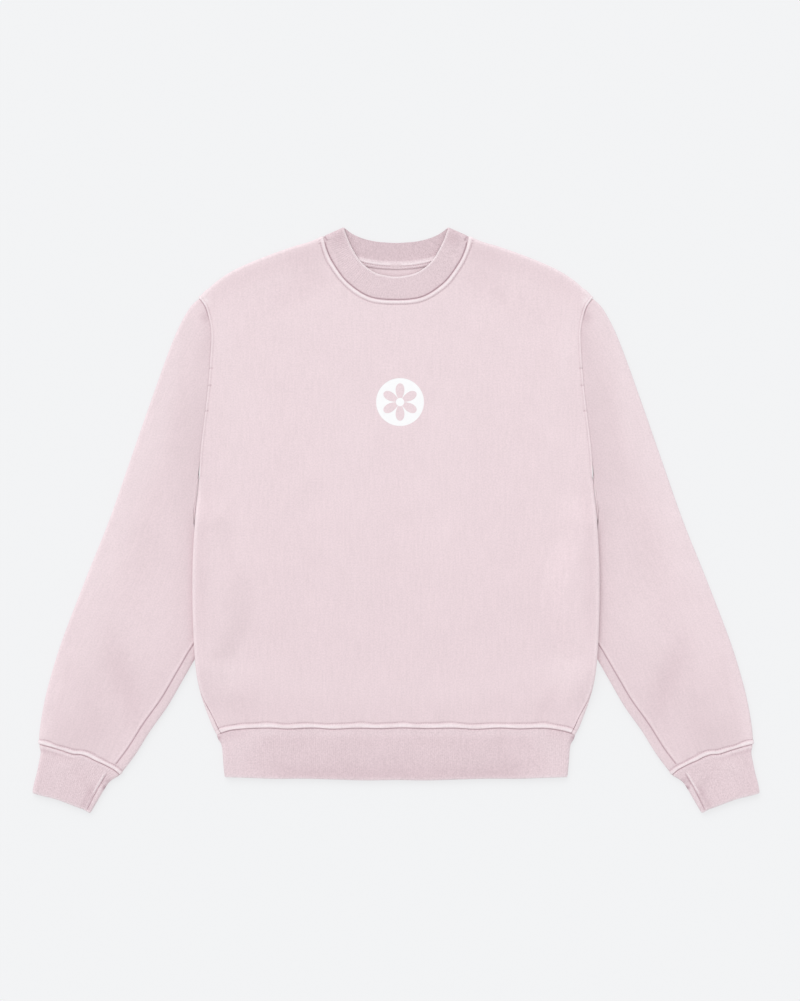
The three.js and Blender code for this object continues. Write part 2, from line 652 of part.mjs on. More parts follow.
function neckGrid() {
  const clear = (d, length) => -mix(SHOULDER_GAP, HALF_GAP, smoothStep(0, EASE / 2, Math.min(d, length - d)));
  const seams = [neckSeamFront, neckSeamBack].map((line) => line.moved(clear));
  const edges = [NECK_EDGE_FRONT, NECK_EDGE_BACK].map(acrossCentre);
  const outline = new Line([neckSeamFront.points[0], edges[0].points[0]]);
  const outward = opposite(left(outline.tangent(1)));
  const shares = [...NECK_SHARES.slice(1), ...[...NECK_SHARES].reverse().slice(1).map((share) => 1 - share)];
  const fold = outline.moved(RIB / 2);
  return NECK_RINGS.map((s) => {
    const [front, back] = seams.map((seam, side) => {
      const edge = edges[side];
      const blend = (t) => [0, 1].map((k) => mix(seam.share(t)[k], edge.share(t)[k], s));
      const line = new Line(spreadOver(60).map(blend));
      return line.between(corner(line, 0, fold, s), corner(line, 1, fold.mirrored(), s));
    });
    const reach = mix(NECK_SHARES[0], ribMid / front.length, s);
    return ring({
      front, back, radius: ribMid, shares: shares.slice(0, -1), reachA: reach, reachB: reach, outA: outward,
      outB: [-outward[0], outward[1]],
    });
  });
}

function tapeGrid() {
  const stations = spreadOver(24, TAPE_LAY.end, neckSeamBack.length - TAPE_LAY.end);
  const z = FLEECE + SEAM_GAP + TAPE / 2;
  const up = new THREE.Vector3(0, 0, 1);
  return [TAPE_LAY.width + HALF_GAP, HALF_GAP].map((by) =>
    stations.map((d) => point(...add(neckSeamBack.at(d), outwards(neckSeamBack, d), by), z, up)),
  );
}

const pink = new THREE.Color(0.83, 0.71, 0.735);
const cloth = (shade) =>
  new THREE.MeshStandardMaterial({ color: pink.clone().multiplyScalar(shade), roughness: 0.95, metalness: 0 });
const fleece = cloth(1);
const rib = cloth(0.93);
const tape = cloth(0.9);

const garment = new THREE.Group();
function piece(name, grid, thickness, material, tube) {
  const mesh = new THREE.Mesh(wall(grid, thickness, tube), material);
  mesh.name = name;
  garment.add(mesh);
}

piece("front_panel", bodyPanel(true), FLEECE, fleece, false);
piece("back_panel", bodyPanel(false), FLEECE, fleece, false);
piece("sleeve_left", sleeveGrid(), FLEECE, fleece, true);
piece("sleeve_right", flipGrid(sleeveGrid()), FLEECE, fleece, true);
piece("cuff_left", cuffGrid(), RIB, rib, true);
piece("cuff_right", flipGrid(cuffGrid()), RIB, rib, true);
piece("waistband", waistGrid(), RIB, rib, true);
piece("neckband", neckGrid(), RIB, rib, true);
piece("neck_tape", tapeGrid(), TAPE, tape, false);

export default garment;
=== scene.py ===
# A pale pink crewneck sweatshirt laid flat on its back, seen from straight above.
# Lengths are in millimetres until a mesh is made.
import math

import bpy
import numpy as np
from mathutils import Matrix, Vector
from mathutils.bvhtree import BVHTree


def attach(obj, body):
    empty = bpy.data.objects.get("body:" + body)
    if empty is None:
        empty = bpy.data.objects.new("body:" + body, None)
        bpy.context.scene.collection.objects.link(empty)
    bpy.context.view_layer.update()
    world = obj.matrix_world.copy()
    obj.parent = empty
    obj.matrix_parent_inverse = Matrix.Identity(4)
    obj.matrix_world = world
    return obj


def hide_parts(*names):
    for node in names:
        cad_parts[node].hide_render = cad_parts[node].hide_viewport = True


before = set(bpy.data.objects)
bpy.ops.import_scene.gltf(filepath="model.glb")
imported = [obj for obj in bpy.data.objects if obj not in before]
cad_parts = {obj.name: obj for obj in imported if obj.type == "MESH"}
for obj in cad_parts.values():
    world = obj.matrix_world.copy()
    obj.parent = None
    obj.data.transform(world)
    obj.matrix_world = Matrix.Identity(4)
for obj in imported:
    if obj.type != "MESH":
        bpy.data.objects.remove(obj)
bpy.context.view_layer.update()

MM = 0.001

# Cloth, as in the frame
FLEECE = 2.4
RIB = 3.0
TAPE = 0.9
LAID = 8.0
SEAM_GAP = 0.3
HALF_GAP = SEAM_GAP / 2
UNDERARM_GAP = 0.4
MIDDLE = LAID / 2
BODY_MID = (LAID - FLEECE) / 2
RIB_MID = (LAID - RIB) / 2


def table(columns, rows):
    return [dict(zip(columns.split(), row)) for row in rows]


# Outlines of the half with positive X
SHOULDER = table("x y", [
    [93.2, 367], [113.5, 359], [131.6, 353.8], [161, 343.5], [187, 333.2], [209, 323], [226, 312.5],
    [238.7, 302.2], [254, 286.7],
])
ARMHOLE = table("x y", [
    [254, 286.7], [246.5, 276.4], [242.5, 264.8], [239.2, 250], [238.4, 234], [239.9, 206.8], [243.2, 168.1],
    [247.7, 129.4], [252.2, 90.7], [254.7, 52],
])
SIDE = table("x y", [
    [254.7, 52], [258, 13.3], [261.9, -44.8], [262.6, -95], [261.5, -141.5], [259.5, -176], [256.2, -205],
    [249, -234.4], [237.4, -265.3], [231, -277],
])
HEM_SEAM = table("x y", [
    [-231.5, -277.6], [-224, -274.2], [-206, -270], [-165, -268.2], [-140, -269.4], [-108, -268], [-82, -269.6], [-50, -268.3],
    [-20, -268.9], [8, -267.9], [40, -268.8], [72, -268.2], [104, -269.7], [133, -268.1], [160, -269.2],
    [186, -268.4], [206, -270], [224, -274.2],
    [231.5, -277.6],
])
WAIST = table("x y", [
    [231.2, -278], [229.2, -283.4], [225.8, -288.8], [224.2, -298], [223.2, -312], [221.4, -331.4],
])
WAIST_HEM = table("x y", [
    [0, -335], [40, -335.6], [80, -334.4], [120, -333.4], [157, -333.6], [190, -332.4], [221.4, -331.4],
])
NECK_SEAM_FRONT = table("x y", [
    [93.2, 367], [91.9, 359], [89.3, 349.3], [82.7, 334.5], [69.5, 314.8], [58.1, 303.2], [41.5, 291.7],
    [25.2, 286], [0, 284.2],
])
NECK_EDGE_FRONT = table("x y", [
    [67.7, 378.3], [61.3, 360.8], [54.7, 347.7], [48.1, 337], [38.3, 327], [25.2, 318.9], [8.6, 315], [0, 314.4],
])
NECK_SEAM_BACK = table("x y", [
    [93.2, 367], [82, 354.5], [64, 343.5], [45, 336.6], [22, 332.3], [0, 331.3],
])
NECK_EDGE_BACK = table("x y", [
    [67.7, 378.3], [55.7, 369.5], [42.2, 363.7], [26.4, 360], [10.3, 358.5], [0, 358.1],
])
SLEEVE_OUTER = table("x y", [
    [254, 286.7], [268.3, 271.3], [287.7, 232.6], [316, 155.2], [343, 77.8], [370.2, 0.4], [401.2, -77],
    [430.9, -154.4], [446.3, -203.5], [454.5, -237], [459.5, -267], [461.4, -288.6],
])
SLEEVE_INNER = table("x y", [
    [255.1, 52], [258.4, 13.3], [260, -7], [256, -26], [247.5, -48], [238.5, -73], [234, -98], [236, -124],
    [243.5, -148], [252, -167], [260.6, -180.8], [277.4, -210.2], [295.4, -241.2], [317.3, -272.1],
    [336.7, -303], [356.2, -328.8],
])
CUFF_SEAM = table("x y", [
    [461.4, -288.6], [445.8, -292.7], [431, -297.2], [417.8, -301.6], [407, -302.4], [398.1, -305.1],
    [388.3, -310.2], [378, -314.6], [364.4, -321.8], [356.2, -328.8],
])
CUFF_OUTER = table("x y", [
    [460.6, -289], [458.8, -300], [460.5, -310], [463.9, -326.5], [467.2, -338.8], [469.7, -351.9],
])
CUFF_INNER = table("x y", [
    [356.8, -329.4], [369.3, -337.2], [375.9, -346.3], [379.6, -352.5], [389.8, -370.1], [394.7, -378.3],
])
CUFF_HEM = table("x y", [
    [469.7, -351.9], [458.2, -355.3], [438.5, -360.2], [411.3, -370.4], [404, -372.8], [394.7, -378.3],
])

# Where the sleeve lies under the side of the body, the body is lifted over it.
LIFT = {"height": LAID + 0.6, "top": (38, -8), "bottom": (-250, -186), "ramp": 44, "over": 11}

# Soft folds and hollows: the middle, the direction in degrees, the half length, the half width and the height.
FOLD = "x y turn length width height"
BODY_FOLDS = table(FOLD, [
    [205, 120, 84, 120, 26, 0.3], [212, -60, 96, 90, 30, 0.2], [150, -205, 12, 90, 26, 0.4],
    [0, -225, 0, 110, 24, 0.4], [196, -240, 60, 34, 12, -0.5], [118, 300, -28, 60, 20, -0.9],
    [60, 60, 88, 150, 40, 0.3], [222, 225, 80, 60, 14, 0.6],
])
SLEEVE_FOLDS = table(FOLD, [
    [300, 120, 110, 110, 18, 0.5], [352, -205, 70, 62, 17, -1.4], [388, -150, 112, 80, 22, 0.6],
    [410, -262, 60, 46, 14, 0.5], [330, -60, 108, 90, 24, -0.5], [276, 170, 100, 70, 12, -0.7],
    [246, 258, 75, 24, 8, -0.7],
])
WAIST_FOLDS = table(FOLD, [
    [206, -308, 128, 40, 16, 0.7], [150, -322, 10, 60, 14, -0.6], [0, -322, 0, 120, 14, -0.5],
    [176, -296, 150, 34, 9, -0.4],
])
CUFF_FOLDS = table(FOLD, [
    [436, -330, 105, 30, 12, 0.5], [396, -346, 62, 26, 7, -0.8], [375.6, -343.5, 60, 7, 4, -1.2],
    [420, -316, 165, 30, 6, 0.4],
])
NECK_FOLDS = table(FOLD, [[82, 352, 65, 22, 8, -0.7], [0, 300, 0, 60, 9, 0.25]])


# Small helpers
def smooth(a, b, x):
    t = np.clip((x - a) / (b - a), 0, 1)
    return t * t * (3 - 2 * t)


def mix(a, b, t):
    return a + (b - a) * t


def left(v):
    return np.stack([-v[..., 1], v[..., 0]], axis=-1)


def unit(v):
    return v / np.linalg.norm(v, axis=-1, keepdims=True)


def spread(start, end, step):
    return np.linspace(start, end, max(2, int(round(abs(end - start) / step)) + 1))


class Line:
    """A plane line measured by its length."""

    def __init__(self, points):
        self.points = np.asarray(points, float)
        steps = np.linalg.norm(np.diff(self.points, axis=0), axis=1)
        self.along = np.concatenate([[0], np.cumsum(steps)])
        self.length = self.along[-1]

    def at(self, d):
        return np.stack([np.interp(d, self.along, self.points[:, k]) for k in (0, 1)], axis=-1)

    def share(self, t):
        return self.at(np.asarray(t) * self.length)

    def tangent(self, d, near=1.5):
        d = np.asarray(d, float)
        return unit(self.at(np.minimum(self.length, d + near)) - self.at(np.maximum(0, d - near)))

    def outward(self, d):
        return left(self.tangent(d))

    def moved(self, amount):
        by = amount(self.along, self.length) if callable(amount) else np.full_like(self.along, amount)
        return Line(self.points + self.outward(self.along) * by[:, None])

    def between(self, p, q):
        far = [np.linalg.norm(self.points - end, axis=1) > 2 for end in (p, q)]
        inner = self.points[1:-1][(far[0] & far[1])[1:-1]]
        return Line([p, *inner, q])

    def reversed(self):
        return Line(self.points[::-1])

    def mirrored(self):
        return Line(self.points * [-1, 1])

    def joined(self, other):
        return Line([*self.points, *other.points[1:]])

    def station_at(self, y):
        """How far along the line the height y is passed."""
        order = np.argsort(self.points[:, 1])
        return np.interp(y, self.points[order, 1], self.along[order])

    def nearest(self, points):
        """The distance of each point from the line, and how far along the line its nearest place is."""
        p = np.asarray(points, float)
        flat = p.reshape(-1, 2)
        best = np.full(len(flat), np.inf)
        where = np.zeros(len(flat))
        for i in range(len(self.points) - 1):
            a, d = self.points[i], self.points[i + 1] - self.points[i]
            t = np.clip(((flat - a) @ d) / (d @ d), 0, 1)
            far = np.linalg.norm(flat - a - t[:, None] * d, axis=1)
            closer = far < best
            best[closer] = far[closer]
            where[closer] = self.along[i] + t[closer] * math.hypot(*d)
        return best.reshape(p.shape[:-1]), where.reshape(p.shape[:-1])

    def distance(self, points):
        return self.nearest(points)[0]


def curve(rows, steps=10):
    """A Catmull-Rom curve through the rows of a table."""
    p = np.array([[row["x"], row["y"]] for row in rows], float)
    q = np.concatenate([[2 * p[0] - p[1]], p, [2 * p[-1] - p[-2]]])
    t = np.arange(steps)[:, None] / steps
    points = []
    for a, b, c, d in zip(q, q[1:], q[2:], q[3:]):
        cubic = -a + 3 * b - 3 * c + d
        points.extend(0.5 * (2 * b + (c - a) * t + (2 * a - 5 * b + 4 * c - d) * t**2 + cubic * t**3))
    return Line([*points, p[-1]])


def across_centre(rows):
    """A curve that ends on the centre line, carried on over it by its mirror image."""
    before = rows[-2]
    half = curve([*rows, {"x": -before["x"], "y": before["y"]}])
    kept = half.points[half.points[:, 0] >= -1e-6].copy()
    kept[-1, 0] = 0
    right = Line(kept)
    return right.joined(right.mirrored().reversed())


def corner(one, one_end, other, other_end):
    """Where two lines cross near their ends, each carried straight on."""
    p, q = one.share(one_end), other.share(other_end)
    u, v = one.tangent(one_end * one.length), other.tangent(other_end * other.length)
    return p + u * (np.cross(q - p, v) / np.cross(u, v))


def roll(p, radius):
    """A rolled edge's section: p runs over the cloth from the outermost point, up and inwards if positive."""
    quarter = math.pi * radius / 2
    past = np.abs(p) - quarter
    a = np.clip(p / radius, -math.pi / 2, math.pi / 2)
    inset = np.where(past >= 0, radius + past, radius * (1 - np.cos(a)))
    return inset, radius * np.sin(a)


def fold_height(x, y, folds):
    height = np.zeros_like(x)
    for fold in folds:
        turn = math.radians(fold["turn"])
        dx, dy = x - fold["x"], y - fold["y"]
        along = (dx * math.cos(turn) + dy * math.sin(turn)) / fold["length"]
        across = (dy * math.cos(turn) - dx * math.sin(turn)) / fold["width"]
        height += fold["height"] * np.exp(-along**2 - across**2)
    return height


# Painted light in the cloth's tone: painted shade in the hollows of folds and a painted highlight on their rises, as a
# share of their heights
BODY_SHADE = 0.12
# Strengths of the painted highlight on a welt's ridge and of the painted shade in its outer hollow and its seam
WELT_HIGHLIGHT = 0.72
WELT_HOLLOW_SHADE = 0.5
SEAM_SHADE = 0.4

waves = np.random.RandomState(11)
WAVES = [
    (wave_length, angle, waves.uniform(0, 6.28), 0.016 * math.sqrt(wave_length / 30))
    for wave_length in (24, 31, 40, 52, 66, 85)
    for angle in waves.uniform(0, math.pi, 3)
]


def unevenness(x, y):
    """The slight waviness of cloth that lies loose."""
    height = np.zeros_like(x)
    for wave_length, angle, phase, size in WAVES:
        height += size * np.sin((x * math.cos(angle) + y * math.sin(angle)) * 2 * math.pi / wave_length + phase)
    return height


def uneven(width, station, share):
    """A welt's width, which wavers along its seam by up to a share."""
    return width * (1 + share * np.sin(station / 7.5 + 2 * np.sin(station / 37)) * np.sin(station / 19 + 0.6))


def welt(d, width, height, share=0, station=0, seam=0.7):
    """The relief beside a seam whose turned edges are stitched down at a width: a ridge between two hollows."""
    width = uneven(width, station, share)
    ridge = height * np.sin(math.pi * np.clip(d / width, 0, 1)) ** 0.5
    return ridge + hollow(d, seam, 0.6) + hollow(d - width, 0.45, 0.75)


def hollow(d, depth, reach):
    return -depth * np.exp(-((d / reach) ** 2))


def pucker(d, station, reach=5.0):
    """Small uneven puckers that run out from a stitched seam."""
    wave = np.sin(station / 3.1 + 2 * np.sin(station / 17)) * np.sin(station / 23 + 1.3)
    return 0.16 * wave * np.exp(-d / reach) * smooth(0, 2, d)


def welt_shading(d, width, height, share=0, station=0):
    """The painted light of a welt: a painted highlight beside the seam, unevenly, and painted shade in the seam and in
    its outer hollow.
    """
    width = uneven(width, station, share)
    light_factor = 1 + 0.35 * np.sin(station / 9 + 1.5 * np.sin(station / 31))
    highlighted = height * np.exp(-(((d - 0.4 * width) / (0.22 * width)) ** 2)) * light_factor
    seam_and_hollow_shade = WELT_HOLLOW_SHADE * np.exp(-(((d - width) / 0.9) ** 2)) + SEAM_SHADE * np.exp(-((d / 0.8) ** 2))
    return WELT_HIGHLIGHT * highlighted - seam_and_hollow_shade * height


def rim_highlight(d, reach=2.2):
    """A painted highlight along a folded outer edge."""
    return 0.55 * np.exp(-((d / reach) ** 2))


armhole = curve(ARMHOLE)
side = curve(SIDE)
sleeve_inner = curve(SLEEVE_INNER)
sleeve_outer = curve(SLEEVE_OUTER)
neck_seam_front = across_centre(NECK_SEAM_FRONT)
neck_seam_back = across_centre(NECK_SEAM_BACK)
neck_edge_front = across_centre(NECK_EDGE_FRONT)
neck_edge_back = across_centre(NECK_EDGE_BACK)
hem_seam = curve(HEM_SEAM)
cuff_seam = curve(CUFF_SEAM)
side_fold = side.moved(-FLEECE / 2)
shoulder_fold = curve(SHOULDER).moved(-FLEECE / 2)


def x_at(line, y):
    """The x of a falling curve at a height, or of its nearer end past them."""
    order = np.argsort(line.points[:, 1])
    return np.interp(y, line.points[order, 1], line.points[order, 0])


def hem_at(x):
    return np.interp(x, hem_seam.points[:, 0], hem_seam.points[:, 1])


def lift_at(x, y):
    along = smooth(*LIFT["top"], y) * smooth(*LIFT["bottom"], y)
    edge = np.minimum(x_at(sleeve_inner, y), x_at(side, y)) - LIFT["over"]
    return LIFT["height"] * along * smooth(edge - LIFT["ramp"], edge, np.abs(x))


# Where the fine meshes have their points
EDGE_STATIONS = np.array([0, 0.35, 0.8, 1.3, 1.9, 2.6, 3.4, 4.2, 4.9, 5.6, 6.3, 7.2, 8.4, 10, 12.2, 14.6])
BAND_FLAT = EDGE_STATIONS[-1] - math.pi / 2 * BODY_MID
BAND_WIDTH = BODY_MID + BAND_FLAT
PANEL_STEP = 3.9
NECK_STEP = 3.4
EASE = 24
WEIGHTS = EDGE_STATIONS / EDGE_STATIONS[-1]
PUCKERS = (196, 174, 141)
PUCKER_FINE = (-2, -1, 0, 1, 2)
SHOULDER_REACH = 60
NECK_REACH = 40
NECK_TURN = 14
TOP_FADE = 3
HEM_EASE = 24
HEM_BLEND = 40
HEM_SETTLED = (-222, -260)
HEM_UNDERLAP = 0.35
SIDE_GAP = -0.05
HEM_GAP = -0.1
CUFF_GAP = -0.12
NECK_GAP = -0.2
SHOULDER_GAP = 0.05
ARM_GAP = 0.04


def into_end(d, length):
    return smooth(length - EASE, length, d)


armhole_edge = armhole.moved(lambda d, length: -mix(ARM_GAP, FLEECE / 2, into_end(d, length)))
armhole_top = corner(shoulder_fold, 1, armhole_edge, 0)


def seam_over(y):
    """How far the side seam lies over the rolled edge: it turns to the front near the hem."""
    return 6.4 * smooth(-205, -272, y)


def past_corner(outward, away, bisector):
    """Inward directions that turn slowly from a corner's bisector, for rows at equal insets from the edge."""
    near = 1 - smooth(0, 1, away)[:, None]
    direction = unit(mix(-outward, bisector, near))
    return direction / -(direction * outward).sum(axis=1, keepdims=True)


def body_grid(front):
    """The middle surface of a body panel, for its half with positive X. Row 0 is at the hem."""
    sign = 1 if front else -1
    last = len(WEIGHTS) - 1
    end = math.pi / 2 * BODY_MID + BAND_FLAT
    edge_p = mix(SIDE_GAP, end, WEIGHTS)
    top_inset, top_height = roll(edge_p * sign, BODY_MID)
    flat_inset = WEIGHTS * BAND_WIDTH

    # Columns of the top edge: the shoulder, the corner at the neck and the neck seam
    neck = (neck_seam_front if front else neck_seam_back).moved(HALF_GAP)
    shoulder_d = spread(flat_inset[-1], shoulder_fold.length, PANEL_STEP)[1:-1]
    from_armhole = shoulder_fold.length - np.concatenate([flat_inset, shoulder_d, [shoulder_fold.length]])
    neck_d = spread(NECK_STEP, neck_seam_front.length / 2, NECK_STEP) / neck_seam_front.length * neck.length
    fold_out = shoulder_fold.outward(from_armhole)
    n_fold = len(from_armhole)
    base = np.concatenate([shoulder_fold.at(from_armhole), neck.at(neck_d)])
    base[0] = armhole_top
    base[n_fold - 1] = neck.at(FLEECE / 2)
    outward = np.concatenate([fold_out, -neck.outward(neck_d)])
    base[-1, 0], outward[-1] = 0, (0, 1)

    # Rows of the side edge: up the side, then up the armhole
    hem_d = EDGE_STATIONS
    side_d = side_fold.length - np.concatenate([hem_d, spread(hem_d[-1], side_fold.length, PANEL_STEP)[1:]])
    arm_last = armhole_edge.length - 4
    arm_first = top_inset[-1]
    pucker_d = [armhole_edge.station_at(y) for y in PUCKERS]
    arm_d = np.concatenate([spread(arm_last, arm_first, PANEL_STEP)[:-1], np.add.outer(pucker_d, PUCKER_FINE).ravel()])
    arm_d = np.sort(arm_d)[::-1]
    n_side, n_arm, n_top = len(side_d), len(arm_d), len(WEIGHTS)
    rows, columns = n_side + n_arm + n_top, len(base)
    plan = np.zeros((rows, columns, 2))
    height = np.full((rows, columns), np.nan)

    side_out = side_fold.outward(side_d)
    p0 = seam_over(side_fold.at(side_d)[:, 1]) + sign * SIDE_GAP
    p = p0[:, None] + (sign * end - p0[:, None]) * WEIGHTS
    inset, rolled = roll(p, BODY_MID)
    plan[:n_side, : last + 1] = side_fold.at(side_d)[:, None] - side_out[:, None] * inset[..., None]
    height[:n_side, : last + 1] = rolled
    arm_out = armhole_edge.outward(arm_d)
    arm_rows = slice(n_side, n_side + n_arm)
    plan[arm_rows, : last + 1] = armhole_edge.at(arm_d)[:, None] - arm_out[:, None] * flat_inset[:, None]

    # The band along the top
    up = armhole_edge.at(top_inset) - armhole_top
    bisector = unit(neck.outward(3.0) - fold_out[-1])
    from_corner = np.concatenate([from_armhole, neck_d])
    reach = np.where(np.arange(columns) < n_fold, SHOULDER_REACH, NECK_REACH)
    inward = past_corner(outward, from_corner / reach, bisector)
    flat = np.concatenate([np.zeros(n_fold), smooth(0, NECK_TURN, neck_d)])
    inset = mix(top_inset[:, None], flat_inset[:, None], flat)
    top_rows = rows - 1 - np.arange(n_top)
    plan[top_rows] = base + inward * inset[..., None]
    plan[top_rows, : last + 1] = base[: last + 1] + up[:, None]
    height[top_rows, :n_fold] = top_height[:, None]

    # The hem rows, and a patch between them and the top band, whose shape fades downwards
    low, high = len(hem_d) - 1, rows - n_top
    settled = hem_at(plan[0, : last + 1, 0]) - plan[0, : last + 1, 1]
    plan[:n_side, : last + 1, 1] += settled * (1 - smooth(0, HEM_EASE, side_fold.length - side_d))[:, None]
    hem_x = plan[0, last, 0] * np.linspace(1, 0, columns - last)
    away = smooth(0, HEM_BLEND, hem_x[0] - hem_x[1:])
    lean = plan[: low + 1, last, 0] - hem_x[0]
    rise = plan[: low + 1, last, 1] - hem_at(hem_x[0])
    plan[: low + 1, last + 1 :, 0] = hem_x[1:] + lean[:, None] * (1 - away)
    plan[: low + 1, last + 1 :, 1] = hem_at(hem_x[1:]) + mix(rise[:, None], hem_d[:, None], away)
    edge = Line(plan[low : high + 1, last])
    v = (edge.along / edge.length)[1:-1, None, None]
    u = (1 - hem_x / hem_x[0])[1:, None]
    bottom, top = plan[low, last + 1 :], plan[high, last + 1 :]
    centre = mix(plan[low, -1], plan[high, -1], v)
    sides = mix(edge.points[1:-1, None], centre, u)
    ends = [mix(plan[row, last], plan[row, -1], u) for row in (low, high)]
    plan[low + 1 : high, last + 1 :] = sides + (bottom - ends[0]) * (1 - v) + (top - ends[1]) * v**TOP_FADE
    return plan, height


def inside_folds(plan):
    at = np.abs(plan) * [1, 0] + plan * [0, 1]
    return np.minimum(side_fold.distance(at), shoulder_fold.distance(at))


def mirrored_grid(grid):
    """A half grid whose last column is on the centre line, with its mirror image before it."""
    flip = np.array([-1] + [1] * (grid.shape[-1] - 1)) if grid.ndim == 3 else 1
    return np.concatenate([grid[:, :-1] * flip, grid[:, ::-1]], axis=1)


def laid_height(plan, front):
    """How high a body panel lies, but for its thickness and its rolled edges."""
    x, y = plan[..., 0], plan[..., 1]
    height = MIDDLE + lift_at(x, y)
    if front:
        clear = smooth(2, 30, inside_folds(plan))
        height += (fold_height(np.abs(x), y, BODY_FOLDS) + unevenness(x, y)) * clear
    return height


def body_surface(front):
    plan, height = body_grid(front)
    plan, height = mirrored_grid(plan), mirrored_grid(height)
    # The hem's two halves wave differently
    x = plan[..., 0]
    plan[..., 1] += (hem_at(x) - hem_at(np.abs(x))) * smooth(*HEM_SETTLED, plan[..., 1])
    if not front:
        plan[..., 1] -= HEM_UNDERLAP * np.exp(-((plan[..., 1] - hem_at(plan[..., 0])) / 2) ** 2)
    sign = 1 if front else -1
    depth = np.minimum(BODY_MID, inside_folds(plan))
    rise = sign * np.sqrt(BODY_MID**2 - (BODY_MID - depth) ** 2)
    return np.dstack([plan, laid_height(plan, front) + np.where(np.isnan(height), rise, height)])


def body_normals(surface, front):
    """The outward normals of a body panel: from its heights where it is flat, and from its grid at rolled edges."""
    plan = surface[..., :2]
    here = laid_height(plan, front)
    slopes = [laid_height(plan + step, front) - here for step in ([1, 0], [0, 1])]
    flat = unit(np.dstack([-slopes[0], -slopes[1], np.ones_like(here)])) * (1 if front else -1)
    inner = smooth(BODY_MID, BODY_MID + 3, inside_folds(plan))[..., None]
    return unit(mix(normals(surface, up=front), flat, inner))


def normals(surface, wrapped=False, up=True):
    """The outward normals of a grid of points, whose first row and column face up or down at their middles."""
    if wrapped:
        around = np.roll(surface, -1, axis=1) - np.roll(surface, 1, axis=1)
    else:
        around = np.gradient(surface, axis=1)
    n = unit(np.cross(around, np.gradient(surface, axis=0)))
    return n if up else -n


def mesh_object(name, vertices, faces, materials, uv=None, tone=None, kinds=None, sharp_from=None):
    """A mesh in metres. kinds are the faces' materials, and faces from sharp_from on are shaded flat."""
    mesh = bpy.data.meshes.new(name)
    mesh.from_pydata((vertices * MM).tolist(), [], faces.tolist())
    for material in materials:
        mesh.materials.append(material)
    if kinds is not None:
        mesh.polygons.foreach_set("material_index", kinds)
    is_smooth = np.arange(len(faces)) < (len(faces) if sharp_from is None else sharp_from)
    mesh.polygons.foreach_set("use_smooth", is_smooth)
    if uv is not None:
        at = uv[faces]
        if uv.shape[1] > 2:
            behind = at[..., 0] < at[..., 0].max(axis=1, keepdims=True) - at[..., 2] / 2
            at[..., 0] += behind * at[..., 2]
        layer = mesh.uv_layers.new(name="cloth")
        layer.data.foreach_set("uv", (at[..., :2] * MM).ravel())
    if tone is not None:
        attribute = mesh.attributes.new("tone", "FLOAT", "POINT")
        attribute.data.foreach_set("value", tone)
    mesh.update()
    piece = bpy.data.objects.new(name, mesh)
    bpy.context.scene.collection.objects.link(piece)
    return piece


def quads(a, b, c, d):
    return np.stack([a, b, c, d], axis=-1).reshape(-1, 4)


def wall(
    name, surface, thickness, materials, relief, tone, uv, wrapped=False, up=True, mirror=False, rounding=0,
    n=None, lining=(0, 0),
):
    """A cloth wall on a grid of its middle points, closed round its edges.

    Relief lifts its outer face, with a painted highlight where it rises and painted shade where it sinks; rounding
    only lifts it. The lining is its inner face's relief and tone, and n its normals, where they don't come from the
    grid.
    """
    rows, columns = surface.shape[:2]
    n = normals(surface, wrapped, up) if n is None else n
    outer = surface + n * (thickness / 2 + relief + rounding)[..., None]
    inside_relief, inside_tone = (np.broadcast_to(field, (rows, columns)) for field in lining)
    inner = surface - n * (thickness / 2 + inside_relief)[..., None]
    vertices = np.concatenate([outer.reshape(-1, 3), inner.reshape(-1, 3)])
    o, i = np.arange(2 * rows * columns).reshape(2, rows, columns)
    if wrapped:
        o, i = (np.concatenate([side, side[:, :1]], axis=1) for side in (o, i))
    outside = quads(o[:-1, :-1], o[:-1, 1:], o[1:, 1:], o[1:, :-1])
    inside = quads(i[:-1, :-1], i[1:, :-1], i[1:, 1:], i[:-1, 1:])
    edges = [
        quads(i[0, :-1], i[0, 1:], o[0, 1:], o[0, :-1]),
        quads(o[-1, :-1], o[-1, 1:], i[-1, 1:], i[-1, :-1]),
    ]
    if not wrapped:
        edges.append(quads(o[:-1, 0], o[1:, 0], i[1:, 0], i[:-1, 0]))
        edges.append(quads(o[:-1, -1], i[:-1, -1], i[1:, -1], o[1:, -1]))
    faces = np.concatenate([outside, inside, *edges])
    if up == mirror:
        faces = faces[:, ::-1]
    if mirror:
        vertices = vertices * [-1, 1, 1]
    inside_tones = INSIDE_TONE + inside_tone + relief_shading(inside_relief)
    tones = np.concatenate([(tone + relief_shading(relief)).ravel(), inside_tones.ravel()])
    uvs = np.concatenate([uv.reshape(-1, uv.shape[2])] * 2)
    kinds = np.ones(len(faces), np.int32)
    kinds[: len(outside)] = 0
    n_walls = len(outside) + len(inside)
    return mesh_object(name, vertices, faces, materials, uvs, tones, kinds, n_walls)


INSIDE_TONE = -0.12
# A painted highlight on raised relief and painted shade in sunk relief, as shares of its height
RIDGE_HIGHLIGHT = 0.4
HOLLOW_SHADE = 0.85


def relief_shading(relief):
    return np.where(relief > 0, RIDGE_HIGHLIGHT, HOLLOW_SHADE) * relief


def cloth_uv(surface, fan=False):
    """Distances round a tube's cloth and along it, and all the way round. A fan has as many ribs at each end."""
    across = np.linalg.norm(np.diff(surface, axis=1), axis=2)
    along = np.linalg.norm(np.diff(surface, axis=0), axis=2)
    u = np.concatenate([np.zeros((len(surface), 1)), np.cumsum(across, axis=1)], axis=1)
    v = np.concatenate([np.zeros((1, surface.shape[1])), np.cumsum(along, axis=0)])
    whole = u[:, -1:] + np.linalg.norm(surface[:, :1] - surface[:, -1:], axis=2)
    if fan:
        return np.dstack([u / whole * whole.mean(), v, np.full_like(u, whole.mean())])
    return np.dstack([u - whole / 4, v, np.broadcast_to(whole, u.shape)])


# Materials
def nodes_of(name):
    material = bpy.data.materials.new(name)
    material.use_nodes = True
    tree = material.node_tree
    return material, tree, tree.nodes["Principled BSDF"]


